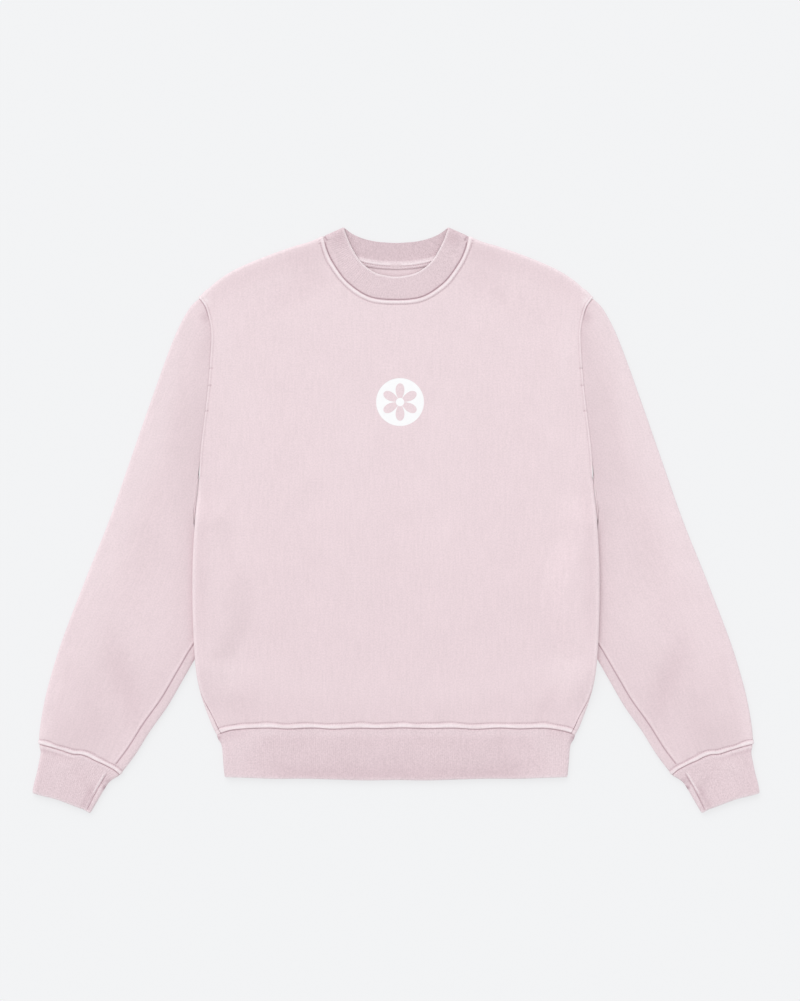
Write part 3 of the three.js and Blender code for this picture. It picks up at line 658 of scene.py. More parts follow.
class Graph:
    """Short ways to add and join nodes."""

    def __init__(self, tree):
        self.tree = tree

    def put(self, socket, value):
        if isinstance(value, bpy.types.NodeSocket):
            self.tree.links.new(value, socket)
        else:
            socket.default_value = value

    def math(self, operation, a, b=0.0, c=0.0, clamp=False):
        node = self.tree.nodes.new("ShaderNodeMath")
        node.operation, node.use_clamp = operation, clamp
        for socket, value in zip(node.inputs, (a, b, c)):
            self.put(socket, value)
        return node.outputs[0]

    def noise(self, vector, scale, detail=2.0, roughness=0.5):
        node = self.tree.nodes.new("ShaderNodeTexNoise")
        self.put(node.inputs["Vector"], vector)
        node.inputs["Scale"].default_value = scale
        node.inputs["Detail"].default_value = detail
        node.inputs["Roughness"].default_value = roughness
        return node.outputs["Fac"]

    def remap(self, value, low, high, to_low, to_high):
        node = self.tree.nodes.new("ShaderNodeMapRange")
        for socket, number in zip(node.inputs, (value, low, high, to_low, to_high)):
            self.put(socket, number)
        return node.outputs[0]

    def blend(self, factor, a, b):
        node = self.tree.nodes.new("ShaderNodeMix")
        node.data_type = "RGBA"
        self.put(node.inputs["Factor"], factor)
        self.put(node.inputs["A"], a)
        self.put(node.inputs["B"], b)
        return node.outputs["Result"]

    def bump(self, height, distance, strength, normal=None):
        node = self.tree.nodes.new("ShaderNodeBump")
        node.inputs["Distance"].default_value = distance
        node.inputs["Strength"].default_value = strength
        self.put(node.inputs["Height"], height)
        if normal is not None:
            self.put(node.inputs["Normal"], normal)
        return node.outputs["Normal"]


def knit_stitches(graph, x, y, wale, course):
    """The face of a plain knit: each wale is a column of Vs."""
    in_wale = graph.math("FRACT", graph.math("DIVIDE", x, wale))
    slant = graph.math("ABSOLUTE", graph.math("SUBTRACT", in_wale, 0.5))
    courses = graph.math("ADD", graph.math("DIVIDE", y, course), graph.math("MULTIPLY", slant, 1.3))
    loops = graph.math("ABSOLUTE", graph.math("SINE", graph.math("MULTIPLY", courses, math.pi)))
    yarn = graph.math("SINE", graph.math("MULTIPLY", slant, 2 * math.pi))
    return graph.math("MULTIPLY", loops, graph.math("MULTIPLY_ADD", yarn, 0.6, 0.4))


def daisy_print(graph, x, y):
    """A mask for a round white print with a plain flower left out of it, and a white centre."""
    dx = graph.math("SUBTRACT", x, PRINT["x"] * MM)
    dy = graph.math("SUBTRACT", y, PRINT["y"] * MM)
    distance = graph.math("SQRT", graph.math("MULTIPLY_ADD", dx, dx, graph.math("MULTIPLY", dy, dy)))
    angle = graph.math("ARCTAN2", dx, dy)
    lobe = graph.math("ABSOLUTE", graph.math("COSINE", graph.math("MULTIPLY", angle, PRINT["petals"] / 2)))
    petal = graph.math("POWER", lobe, 0.55)
    flower = graph.math("MULTIPLY", petal, PRINT["petal"] * MM)
    soft = PRINT["edge"] * MM
    disc = graph.math("DIVIDE", graph.math("SUBTRACT", PRINT["disc"] * MM, distance), soft, clamp=True)
    outside = graph.math("DIVIDE", graph.math("SUBTRACT", distance, flower), soft, clamp=True)
    centre = graph.math("DIVIDE", graph.math("SUBTRACT", PRINT["centre"] * MM, distance), soft, clamp=True)
    return graph.math("MAXIMUM", graph.math("MULTIPLY", disc, outside), centre)


def cloth_material(name, colour, ribs=0.0, brushed=False, printed=False):
    """Dyed cotton: a plain or ribbed knit, or its brushed inside, a little mottled, with painted highlights and
    painted shade from its tone.
    """
    material, tree, shader = nodes_of(name)
    graph = Graph(tree)
    place = tree.nodes.new("ShaderNodeUVMap")
    place.uv_map = "cloth"
    split = tree.nodes.new("ShaderNodeSeparateXYZ")
    tree.links.new(place.outputs[0], split.inputs[0])
    x, y = split.outputs[0], split.outputs[1]
    position = tree.nodes.new("ShaderNodeNewGeometry").outputs["Position"]
    wales = tree.nodes.new("ShaderNodeVectorMath")
    wales.operation = "MULTIPLY"
    wales.inputs[1].default_value = (1, 0.1, 1)
    tree.links.new(place.outputs[0], wales.inputs[0])
    # The surface
    fuzz = graph.noise(position, 1300, 3.0, 0.65)
    if brushed:
        normal = graph.bump(graph.noise(position, 620, 4.0, 0.7), 0.0007, 0.6)
    else:
        knit = knit_stitches(graph, x, y, WALE * MM, COURSE * MM)
        normal = graph.bump(graph.math("MULTIPLY_ADD", fuzz, 0.8, knit), 0.00022, 0.6)
    if ribs:
        wave = graph.math("SINE", graph.math("MULTIPLY", x, 2 * math.pi / (ribs * MM)))
        normal = graph.bump(wave, 0.00032, 0.4, normal)
    # The colour
    mottle = graph.remap(graph.noise(position, 24, 3.0, 0.55), 0.3, 0.7, -MOTTLE, MOTTLE)
    streaks = graph.remap(graph.noise(wales.outputs[0], 330, 2.0, 0.5), 0.3, 0.7, -STREAKS, STREAKS)
    speckled = RIB_SPECKS if ribs else SPECKS
    specks = graph.remap(graph.noise(position, 480, 2.0, 0.6), 0.3, 0.7, 1 - speckled, 1 + speckled)
    shade = graph.math("ADD", graph.math("ADD", mottle, streaks), specks)
    # The tone attribute: positive values blend the colour towards its painted highlight colour, negative ones towards
    # its painted shade colour
    tone = tree.nodes.new("ShaderNodeAttribute")
    tone.attribute_name = "tone"
    light_factor = tone.outputs["Fac"]
    highlighted = graph.blend(graph.math("MULTIPLY", light_factor, 1.0, clamp=True), colour, highlight_colour(colour))
    highlighted_and_shaded = graph.blend(graph.math("MULTIPLY", light_factor, -1.0, clamp=True), highlighted, shade_colour(colour))
    shaded = tree.nodes.new("ShaderNodeVectorMath")
    shaded.operation = "SCALE"
    tree.links.new(highlighted_and_shaded, shaded.inputs[0])
    tree.links.new(shade, shaded.inputs["Scale"])
    final = shaded.outputs[0]
    if printed:
        ink = graph.math("MULTIPLY", daisy_print(graph, x, y), graph.remap(fuzz, 0.3, 0.42, 0.93, 1.0))
        final = graph.blend(ink, final, INK)
    tree.links.new(final, shader.inputs["Base Color"])
    tree.links.new(normal, shader.inputs["Normal"])
    shader.inputs["Roughness"].default_value = 0.92
    shader.inputs["Specular IOR Level"].default_value = 0.18
    shader.inputs["Sheen Weight"].default_value = 0.2
    shader.inputs["Sheen Roughness"].default_value = 0.45
    shader.inputs["Sheen Tint"].default_value = (1.0, 0.86, 0.88, 1)
    return material


def highlight_colour(colour):
    """The colour of a painted highlight: the cloth's colour, paler."""
    return tuple(mix(c, white, 0.62) for c, white in zip(colour[:3], (0.95, 0.87, 0.888))) + (1,)


def shade_colour(colour):
    """The colour of painted shade: the cloth's colour, deeper."""
    return tuple(c * k for c, k in zip(colour[:3], (0.66, 0.58, 0.61))) + (1,)


def plain_material(name, colour, roughness, specular=0.3):
    material, tree, shader = nodes_of(name)
    shader.inputs["Base Color"].default_value = colour
    shader.inputs["Roughness"].default_value = roughness
    shader.inputs["Specular IOR Level"].default_value = specular
    return material


PINK = (0.803, 0.661, 0.690, 1)
RIB_PINK = (0.755, 0.608, 0.641, 1)
THREAD_PINK = (0.82, 0.69, 0.715, 1)
INK = (0.93, 0.93, 0.935, 1)
WALE = 1.1
COURSE = 0.95
RIB_PITCH = 2.6
MOTTLE = 0.012
STREAKS = 0.02
SPECKS = 0.05
RIB_SPECKS = 0.08
PRINT = {"x": 5.2, "y": 152.6, "disc": 31, "petal": 24, "petals": 6, "centre": 5.5, "edge": 0.3}

fleece_cloth = cloth_material("fleece_cloth", PINK)
printed_cloth = cloth_material("printed_fleece_cloth", PINK, printed=True)
brushed_cloth = cloth_material("brushed_cloth", PINK, brushed=True)
rib_cloth = cloth_material("rib_cloth", RIB_PINK, ribs=RIB_PITCH)
tape_cloth = cloth_material("tape_cloth", RIB_PINK)
thread = plain_material("thread", THREAD_PINK, 0.7)
FLEECE_CLOTHS = (fleece_cloth, brushed_cloth)
RIB_CLOTHS = (rib_cloth, rib_cloth)


# The body
NECK_WELT = {"width": 5.7, "height": 0.9, "share": 0.05}
HEM_WELT = {"width": 7.0, "height": 0.9, "share": 0.11}
CUFF_WELT = {"width": 5.9, "height": 0.9, "share": 0.16}
ARM_WELT = {"width": 3.0, "height": 0.65, "share": 0}
ARM_SEAM_TOP = (256, 272)
# Places of a painted highlight at the armhole's top, of painted shade in the pocket below it on the sleeve, of a
# painted highlight low at the side and of painted shade near the neck
ARM_HIGHLIGHT = (246, 283)
ARM_POCKET_SHADE = (246.5, 262)
SIDE_HIGHLIGHT = (220, -200)
NECK_SIDE_SHADE = (118, 338)
SEAM_SHOWN = (-196, -225)


def upright(plan):
    """Places on the half with positive X that mirror the given places."""
    return np.abs(plan[..., :2]) * [1, 0] + plan[..., :2] * [0, 1]


def body_relief(surface):
    """The welts of the neck, the armholes and the hem on the front or the back."""
    plan = upright(surface)
    y = plan[..., 1]
    neck, station = neck_seam_front.nearest(surface[..., :2])
    relief = welt(neck, **NECK_WELT, station=station) + pucker(neck, station, 4)
    arm, station = armhole.nearest(plan)
    open_seam = smooth(*ARM_SEAM_TOP, y)
    fade = mix(0.45, 1, open_seam)
    relief += welt(arm, seam=mix(0.3, 0.75, open_seam), **ARM_WELT) * fade + 0.5 * pucker(arm, station, 4)
    for place in PUCKERS:
        relief += hollow(y - place, 0.7, 1.1) * smooth(6, 3, arm)
    hem = np.abs(y - hem_at(surface[..., 0]))
    hem_relief = welt(hem, seam=1.0, **HEM_WELT, station=surface[..., 0])
    return relief + hem_relief + pucker(hem, surface[..., 0] * 1.1, 6)


def patch(plan, place, reach):
    """One at a place, fading to nothing past its reach."""
    return np.exp(-((plan[..., 0] - place[0]) ** 2 + (plan[..., 1] - place[1]) ** 2) / reach**2)


def body_shading(surface):
    """Painted highlights and painted shade on the welts of the front or the back, and a painted highlight at the
    armhole's top.
    """
    plan = upright(surface)
    neck, neck_station = neck_seam_front.nearest(surface[..., :2])
    arm, arm_station = armhole.nearest(plan)
    hem = np.abs(plan[..., 1] - hem_at(surface[..., 0]))
    tone = welt_shading(neck, **NECK_WELT, station=neck_station) + welt_shading(hem, **HEM_WELT, station=surface[..., 0])
    return tone + 0.4 * welt_shading(arm, **ARM_WELT, station=arm_station) + 0.8 * patch(plan, ARM_HIGHLIGHT, 5)


front = body_surface(True)
columns_in = np.minimum(np.arange(front.shape[1]), np.arange(front.shape[1])[::-1])
from_side = np.interp(columns_in, np.arange(len(EDGE_STATIONS)), EDGE_STATIONS)
seam_shown = smooth(*SEAM_SHOWN, front[..., 1]) * (front[..., 1] < 0)
side_seam = hollow(from_side, 0.8, 0.8) + hollow(from_side - 2.6, -0.35, 1.4)
front_relief = body_relief(front) + seam_shown * side_seam
inside = inside_folds(front[..., :2])
# Painted light on the front: painted highlights on its folded edges and fold rises and painted shade in fold hollows;
# lighter towards the chest and darker towards the hem; painted shade in the side seam's groove, beside the shoulders
# and beside the side edges; a painted highlight low at the side and painted shade near the neck
front_tone = rim_highlight(inside) + BODY_SHADE * fold_height(*np.moveaxis(upright(front), -1, 0), BODY_FOLDS)
front_tone += body_shading(front) + 0.12 * smooth(-260, 300, front[..., 1]) - 0.08
front_tone -= 0.5 * seam_shown * np.exp(-((from_side / 1.2) ** 2))
shoulder = shoulder_fold.distance(upright(front))
front_tone -= 0.12 * np.exp(-(((shoulder - 15) / 12) ** 2)) + 0.06 * smooth(-180, -250, front[..., 1])
beside_edge = smooth(60, 20, front[..., 1]) * smooth(-160, -110, front[..., 1])
front_tone -= 0.09 * beside_edge * np.exp(-(((inside - 11) / 9) ** 2))
front_tone += 0.13 * patch(upright(front), SIDE_HIGHLIGHT, 26) - 0.12 * patch(upright(front), NECK_SIDE_SHADE, 30)
front_piece = wall(
    "front", front, FLEECE, (printed_cloth, brushed_cloth), front_relief, front_tone, front[..., :2],
    n=body_normals(front, True),
)

back = body_surface(False)
inside = inside_folds(back[..., :2])
back_neck, station = neck_seam_back.nearest(back[..., :2])
back_hem = back[..., 1] - hem_at(back[..., 0])
back_arm = armhole.distance(upright(back))
back_relief = hollow(back_neck, 0.6, 0.8) + hollow(back_neck - NECK_WELT["width"], 0.5, 0.8)
back_relief += hollow(back_hem, 0.6, 0.8) + hollow(back_hem - HEM_WELT["width"], 0.5, 0.8)
back_relief += hollow(back_arm, 0.6, 0.8) + hollow(back_arm - ARM_WELT["width"], 0.5, 0.8)
back_tone = rim_highlight(inside)
back_piece = wall(
    "back", back, FLEECE, FLEECE_CLOTHS, back_relief, back_tone, back[..., :2], up=False,
    n=body_normals(back, False),
)

# Tubes that lie flat
ANGLES = np.radians([75, 55, 35, 17, 0, -17, -35, -55, -75])
BESIDE_FOLD = np.array([3.6, 4.6, 5.8, 7.2, 9, 11.2, 14])


def ring(front_line, back_line, radius, front_d, back_d, reach_a, reach_b):
    """One ring: over the front from its end a to b, round b, back underneath and round a."""
    line_of = {True: front_line, False: back_line}
    parts = [np.column_stack([front_line.at(front_d), np.full(len(front_d), MIDDLE + radius)])]
    for at_b, angles, reach in ((True, ANGLES, reach_b), (False, -ANGLES, reach_a)):
        rows = []
        for angle in angles:
            line = line_of[bool(angle >= 0)]
            d = reach * (1 - math.cos(angle))
            rows.append([*line.at(line.length - d if at_b else d), MIDDLE + radius * math.sin(angle)])
        parts.append(np.array(rows))
        if at_b:
            parts.append(np.column_stack([back_line.at(back_d), np.full(len(back_d), MIDDLE - radius)]))
    return np.concatenate(parts)


def flat_tube(a, b, start, end, rings, thickness, near_b, step, reach_b=None):
    """A flat tube within four outlines, and the distances of its front stations from b."""
    radius = (LAID - thickness) / 2
    side_a, side_b = a.moved(-thickness / 2), b.moved(thickness / 2)
    low = [corner(side_a, 0, start, 0), corner(side_b, 0, start, 1)]
    high = [corner(side_a, 1, end, 0), corner(side_b, 1, end, 1)]
    line_a, line_b = side_a.between(low[0], high[0]), side_b.between(low[1], high[1])
    first, last = start.between(*low), end.between(*high)
    u = np.linspace(0, 1, 90)[:, None]
    count = int(round(max(first.length, last.length) / step))
    surface, from_b = [], []
    for v in rings:
        ends = mix(line_a.share(v), line_b.share(v), u)
        drop = mix(first.share(u[:, 0]) - mix(*low, u), last.share(u[:, 0]) - mix(*high, u), v)
        line = Line(ends + drop)
        reach = reach_b(v) if reach_b else radius
        wide = np.linspace(BESIDE_FOLD[-1], line.length - near_b[0], count)[1:-1]
        front_d = np.concatenate([BESIDE_FOLD, wide, line.length - near_b])
        back_d = np.linspace(line.length - reach, radius, count // 2)
        surface.append(ring(line, line, radius, front_d, back_d, radius, reach))
        from_b.append(line.length - front_d)
    return np.array(surface), np.array(from_b)


def on_front(columns, n_front):
    """Which columns of a ring are on the front, down to the middles of its folds."""
    half_roll = len(ANGLES) // 2
    return (np.arange(columns) < n_front + half_roll) | (np.arange(columns) >= columns - half_roll)


# The sleeves
UNDERARM_SEAM = 11.6
# Place of painted shade low on the sleeve
SLEEVE_LOW_SHADE = (400, -272)
SLEEVE_NEAR = np.array([26, 22, 19, 17, 15.6, 14.4, 13.4, 12.6, 12, 11.4, 10.8, 10, 8.8, 7.4, 6, 4.8])
sleeve_gap = armhole.moved(lambda d, length: mix(ARM_GAP, FLEECE / 2 + UNDERARM_GAP, into_end(d, length)))
seam_rings = EDGE_STATIONS / sleeve_outer.length
sleeve_rings = np.concatenate([
    seam_rings, np.linspace(seam_rings[-1], 1 - seam_rings[-1], 118)[1:-1], 1 - seam_rings[::-1],
])
sleeve, from_b = flat_tube(
    sleeve_outer, sleeve_inner, sleeve_gap, cuff_seam, sleeve_rings, FLEECE, SLEEVE_NEAR, 4.0,
    reach_b=lambda v: mix(8, BODY_MID, smooth(0, 0.14, v)),
)
n_front = from_b.shape[1]
x, y = np.moveaxis(sleeve[:, :n_front, :2], -1, 0)
outside = sleeve_outer.distance(sleeve[..., :2])
inside = np.minimum(outside, sleeve_inner.distance(sleeve[..., :2]))
clear = smooth(0, 20, x - x_at(side, y)) * smooth(0, 22, inside[:, :n_front])
clear *= (smooth(0, 0.05, sleeve_rings) * smooth(1, 0.95, sleeve_rings))[:, None]
sleeve[:, :n_front, 2] += (fold_height(x, y, SLEEVE_FOLDS) + unevenness(x, y)) * clear
from_cuff, cuff_station = cuff_seam.nearest(sleeve[..., :2])
from_arm = armhole.distance(sleeve[..., :2])
arm_depth = mix(0.15, 0.85, smooth(*ARM_SEAM_TOP, sleeve[..., 1]))
front_side = on_front(sleeve.shape[1], n_front)
cuff_welt = welt(from_cuff, **CUFF_WELT, station=cuff_station) + 1.5 * pucker(from_cuff, cuff_station, 6)
cuff_rows = hollow(from_cuff, 0.6, 0.8) + hollow(from_cuff - CUFF_WELT["width"], 0.5, 0.8)
sleeve_relief = np.where(front_side, cuff_welt, cuff_rows) + hollow(from_arm, 1, 1.0) * arm_depth
from_seam = from_b - UNDERARM_SEAM
seam_clear = smooth(6.5, 9, from_cuff[:, :n_front]) * smooth(2, 8, from_arm[:, :n_front])
underarm = hollow(from_seam, 1.1, 0.8) + hollow(from_seam - 2.5, -0.45, 1.5)
sleeve_relief[:, :n_front] += underarm * seam_clear
# Painted light on the sleeves: painted shade near the armhole and the shoulder, beside the body, low on the sleeve and
# in the pocket below the armhole's top; painted highlights along the outer edge, on folded edges and on fold rises;
# the cuff seam's welt painted as on the body
shoulder_shade = 0.12 * np.exp(-from_arm / 14) * smooth(170, 235, sleeve[..., 1])
beside = np.maximum(0, sleeve[..., 0] - x_at(side, sleeve[..., 1]))
beside_shade = 0.14 * np.exp(-beside / 24) * smooth(190, 40, sleeve[..., 1])
low_shade = 0.13 * smooth(-120, -240, sleeve[..., 1]) * smooth(4, 22, outside)
outer_highlight = mix(0.18, 0.05, smooth(-60, -115, sleeve[..., 1])) * smooth(50, 5, outside)
sleeve_tone = rim_highlight(inside) - 0.12 * np.exp(-from_arm / 20) - shoulder_shade + outer_highlight
sleeve_tone -= beside_shade + low_shade + 0.12 * patch(sleeve, SLEEVE_LOW_SHADE, 24)
sleeve_tone[:, :n_front] += BODY_SHADE * fold_height(x, y, SLEEVE_FOLDS)
sleeve_tone += np.where(front_side, 1.3 * welt_shading(from_cuff, **CUFF_WELT, station=cuff_station), 0)
sleeve_tone -= 0.28 * patch(sleeve, ARM_POCKET_SHADE, 6)
sleeve_pieces = [
    wall(name, sleeve, FLEECE, FLEECE_CLOTHS, sleeve_relief, sleeve_tone, cloth_uv(sleeve), True, True, mirror)
    for name, mirror in (("sleeve_of_the_left", False), ("sleeve_of_the_right", True))
]

# The cuffs
def foot_rounding(from_foot):
    """How the outer face turns in to a folded free edge."""
    return hollow(from_foot, 0.8, 1.2)


CUFF_SEAMLINE = Line([(371.5, -323.7), (378, -334.6), (384.3, -345.3), (391, -358.5), (398.4, -373.4)])
# Places of painted shade in the pocket and the triangle at the cuff's inner notch
CUFF_POCKET_SHADE = (376.2, -344.7)
CUFF_TRIANGLE_SHADE = (371.9, -335.8)
CUFF_NEAR = np.linspace(21, 3.8, 19)
cuff_outer, cuff_inner, cuff_hem = curve(CUFF_OUTER), curve(CUFF_INNER), curve(CUFF_HEM)
FOOT_RINGS = np.array([0.955, 0.972, 0.986, 1])
cuff_rings = np.concatenate([EDGE_STATIONS / 62, np.linspace(EDGE_STATIONS[-1] / 62, 0.93, 22)[1:], FOOT_RINGS])
cuff_gap = cuff_seam.moved(CUFF_GAP)
cuff, from_b = flat_tube(cuff_outer, cuff_inner, cuff_gap, cuff_hem, cuff_rings, RIB, CUFF_NEAR, 2.6)
n_front = from_b.shape[1]
plan = cuff[:, :n_front, :2]
from_seam, cuff_station = cuff_seam.nearest(cuff[..., :2])
from_foot = cuff_hem.distance(cuff[..., :2])
inside = np.minimum(cuff_outer.distance(cuff[..., :2]), cuff_inner.distance(cuff[..., :2]))
shaped = fold_height(*np.moveaxis(plan, -1, 0), CUFF_FOLDS)
cuff[:, :n_front, 2] += shaped * smooth(0, 6, np.minimum(from_seam, inside)[:, :n_front])
cuff_relief = hollow(from_seam, 0.8, 0.8) + hollow(from_seam - 3.2, -0.3, 1.8) + pucker(from_seam, cuff_station, 6)
front_side = on_front(cuff.shape[1], n_front)
cuff_relief = np.where(front_side, cuff_relief, hollow(from_seam, 0.6, 0.8))
own_seam, seam_station = CUFF_SEAMLINE.nearest(plan)
inner_side = cuff_inner.distance(plan) < cuff_inner.distance(CUFF_SEAMLINE.at(seam_station))
begun = smooth(0, 9, seam_station)
high_part = smooth(-356, -348, plan[..., 1]) * begun
low_part = smooth(-338, -346, plan[..., 1])
stitched = np.exp(-(((own_seam - 2.1) / 1.0) ** 2)) * ~inner_side * high_part
turned = np.exp(-(((own_seam - 3) / 2) ** 2)) * inner_side * low_part
own_relief = hollow(own_seam, 1.1, 0.9) * begun + 0.6 * stitched + 0.5 * turned
cuff_relief[:, :n_front] += own_relief * smooth(1, 4, from_seam[:, :n_front])
# Painted light on the cuffs: a painted highlight and then painted shade below the seam, painted shade in the pocket
# and the triangle at the inner notch, painted highlights on the folded edges, the foot and the stitched and turned
# ridges, painted shade beside the cuff's own seam, and painted light and shade on fold rises and hollows
below_seam_shading = 0.3 * np.exp(-(((from_seam - 2.6) / 1.5) ** 2)) - 0.25 * np.exp(-(((from_seam - 6.6) / 2) ** 2))
behind = patch(cuff, CUFF_POCKET_SHADE, 2.8) + 0.35 * patch(cuff, CUFF_TRIANGLE_SHADE, 4.5)
cuff_tone = 1.3 * rim_highlight(inside, 2.2) * (1 - np.minimum(1, 2.5 * behind)) + 1.3 * rim_highlight(from_foot) - 1.1 * behind
cuff_tone += below_seam_shading * smooth(395, 440, cuff[..., 0])
cuff_tone[:, :n_front] += BODY_SHADE * shaped + 0.8 * stitched + 0.45 * turned
cuff_tone[:, :n_front] -= 0.3 * np.exp(-(((own_seam - 7) / 4) ** 2)) * ~inner_side * smooth(-334, -350, plan[..., 1])
cuff_pieces = [
    wall(
        name, cuff, RIB, RIB_CLOTHS, cuff_relief, cuff_tone, cloth_uv(cuff, fan=True), True, True, mirror,
        rounding=foot_rounding(from_foot),
    )
    for name, mirror in (("cuff_of_the_left", False), ("cuff_of_the_right", True))
]

# The hem band
BAND_NEAR = BESIDE_FOLD[::-1]
# Place of painted shade in the tuck at the hem band's corner
HEM_TUCK_SHADE = (228.6, -280.6)
waist_edge, waist_half = curve(WAIST), curve(WAIST_HEM)
waist_x = np.linspace(WAIST[0]["x"], -WAIST[0]["x"], 150)
waist_top = Line(np.column_stack([waist_x, hem_at(waist_x) - HEM_GAP]))
waist_foot = waist_half.reversed().joined(waist_half.mirrored())
waist_rings = np.concatenate([EDGE_STATIONS / 65, np.linspace(EDGE_STATIONS[-1] / 65, 0.93, 18)[1:], FOOT_RINGS])
waist, from_b = flat_tube(
    waist_edge, waist_edge.mirrored(), waist_top, waist_foot, waist_rings, RIB, BAND_NEAR, 3.4
)
n_front = from_b.shape[1]
x, y = waist[..., 0], waist[..., 1]
from_seam = np.abs(hem_at(x) - y)
from_foot = waist_foot.distance(waist[..., :2])
inside = waist_edge.distance(upright(waist))
shaped = (fold_height(np.abs(x), y, WAIST_FOLDS) + unevenness(x * 1.4, y))[:, :n_front]
waist[:, :n_front, 2] += shaped * smooth(0, 8, np.minimum(from_seam, inside)[:, :n_front])
front_side = on_front(waist.shape[1], n_front)
waist_relief = hollow(from_seam, 0.8, 0.8) + pucker(from_seam, x * 1.1, 5)
waist_relief = np.where(front_side, waist_relief, hollow(from_seam, 0.6, 0.8))
# Tones of the hem band: lighter towards its ends and a little darker overall; painted highlights on its folded edges,
# its foot and just below the seam; painted light and shade on fold rises and hollows; painted shade beside the seam
# near the ends, in the tuck at the corner and far from the seam in the middle
waist_tone = 1.2 * rim_highlight(inside) + 1.3 * rim_highlight(from_foot) + 0.16 * smooth(130, 205, np.abs(x)) - 0.09
waist_tone[:, :n_front] += BODY_SHADE * shaped
waist_tone += 0.18 * np.exp(-(((from_seam - 5) / 6) ** 2)) * smooth(200, 160, np.abs(x))
waist_tone -= 0.12 * smooth(14, 6, from_seam) * smooth(185, 205, np.abs(x))
waist_tone -= 0.8 * patch(upright(waist), HEM_TUCK_SHADE, 2.6)
waist_tone -= 0.1 * smooth(42, 60, from_seam) * smooth(180, 120, np.abs(x))
waist_piece = wall(
    "hem_band", waist, RIB, RIB_CLOTHS, waist_relief, waist_tone, cloth_uv(waist), True,
    rounding=foot_rounding(from_foot),
)

# The neckband
NECK_WIDTH = 31
NECK_COLUMNS = (120, 90)
NECK_SHADE = (73, 364)


def shoulder_gap(d, length):
    """How far the neckband is moved out over its seam: less at its two ends, on the shoulders."""
    return -mix(SHOULDER_GAP, NECK_GAP, smooth(0, EASE / 2, np.minimum(d, length - d)))


neck_lines = [
    (neck_seam_front.moved(shoulder_gap), neck_edge_front),
    (neck_seam_back.moved(shoulder_gap), neck_edge_back),
]
neck_fold = Line([neck_seam_front.points[0], neck_edge_front.points[0]]).moved(RIB / 2)
seam_rings = EDGE_STATIONS[:10] / NECK_WIDTH
neck_rings = np.concatenate([seam_rings, np.linspace(seam_rings[-1], 0.88, 14)[1:], [0.91, 0.94, 0.965, 0.985, 1]])
neck = []
for s in neck_rings:
    front_line, back_line = (
        Line(mix(seam.share(np.linspace(0, 1, 130)), edge.share(np.linspace(0, 1, 130)), s))
        for seam, edge in neck_lines
    )
    front_line, back_line = (
        line.between(corner(line, 0, neck_fold, s), corner(line, 1, neck_fold.mirrored(), s))
        for line in (front_line, back_line)
    )
    reach = mix(0.03 * front_line.length, RIB_MID, s)
    front_d = np.linspace(reach, front_line.length - reach, NECK_COLUMNS[0])
    back_d = np.linspace(back_line.length - reach, reach, NECK_COLUMNS[1])
    neck.append(ring(front_line, back_line, RIB_MID, front_d, back_d, reach, reach))
neck = np.array(neck)
x, y = neck[..., 0], neck[..., 1]
on_top = np.arange(neck.shape[1]) < NECK_COLUMNS[0]
seam_distances = (neck_seam_front.distance(neck[..., :2]), neck_seam_back.distance(neck[..., :2]))
edge_distances = (neck_edge_front.distance(neck[..., :2]), neck_edge_back.distance(neck[..., :2]))
from_seam = np.where(on_top, *seam_distances)
from_edge = np.where(on_top, *edge_distances)
neck[..., 2] += np.where(on_top, fold_height(np.abs(x), y, NECK_FOLDS) * smooth(0, 8, from_seam), 0)
neck_relief = hollow(from_seam, 0.95, 1.1) + np.where(on_top, hollow(from_edge - 2, -0.2, 1.0), 0)
# Painted light on the neckband: a painted highlight along its folded edge, painted shade near its seam and at the
# sides of the front, a painted dark line along the front seam, and a painted highlight on the seam allowance's ridge
# inside the back
neck_tone = np.where(on_top, 1.7 * rim_highlight(from_edge, 1.7), 0.3 * rim_highlight(from_edge)) - 0.1 * np.exp(-from_seam / 6)
neck_tone -= 0.32 * patch(upright(neck), NECK_SHADE, 11) + 0.4 * np.exp(-((from_seam / 1.1) ** 2)) * on_top
seam_allowance = np.exp(-(((from_seam - 1.3) / 1.5) ** 2)) * ~on_top
neck_piece = wall(
    "neck_ring", neck, RIB, RIB_CLOTHS, neck_relief, neck_tone, cloth_uv(neck, fan=True), True, False,
    rounding=foot_rounding(from_edge), lining=(0.5 * seam_allowance, 0.6 * seam_allowance - 0.12),
)

# The neck tape
TAPE_END = 20
TAPE_WIDTH = 7
TAPE_SEAMS = (3.3, 6.2)
TAPE_BLOCK = 7
TAPE_OVERLAP = 0.6
tape_d = spread(TAPE_END, neck_seam_back.length - TAPE_END, 1.6)
tape_across = np.linspace(TAPE_WIDTH + HALF_GAP, -TAPE_OVERLAP, 20)
tape_plan = neck_seam_back.at(tape_d) + neck_seam_back.outward(tape_d) * tape_across[:, None, None]
tape = np.dstack([tape_plan, np.full(tape_plan.shape[:2], FLEECE + SEAM_GAP + TAPE / 2)])
across = np.broadcast_to(tape_across[:, None], tape.shape[:2])
tape_relief = hollow(across - 1.2, -0.35, 1.2)
for place in TAPE_SEAMS:
    tape_relief = tape_relief + hollow(across - place, 0.5, 0.6)
block = np.exp(-(((tape_d - neck_seam_back.length / 2) / TAPE_BLOCK) ** 8))[None]
tape_relief = mix(tape_relief, 0.3, block)
tape_uv = np.dstack([np.broadcast_to(tape_d, tape.shape[:2]), across])
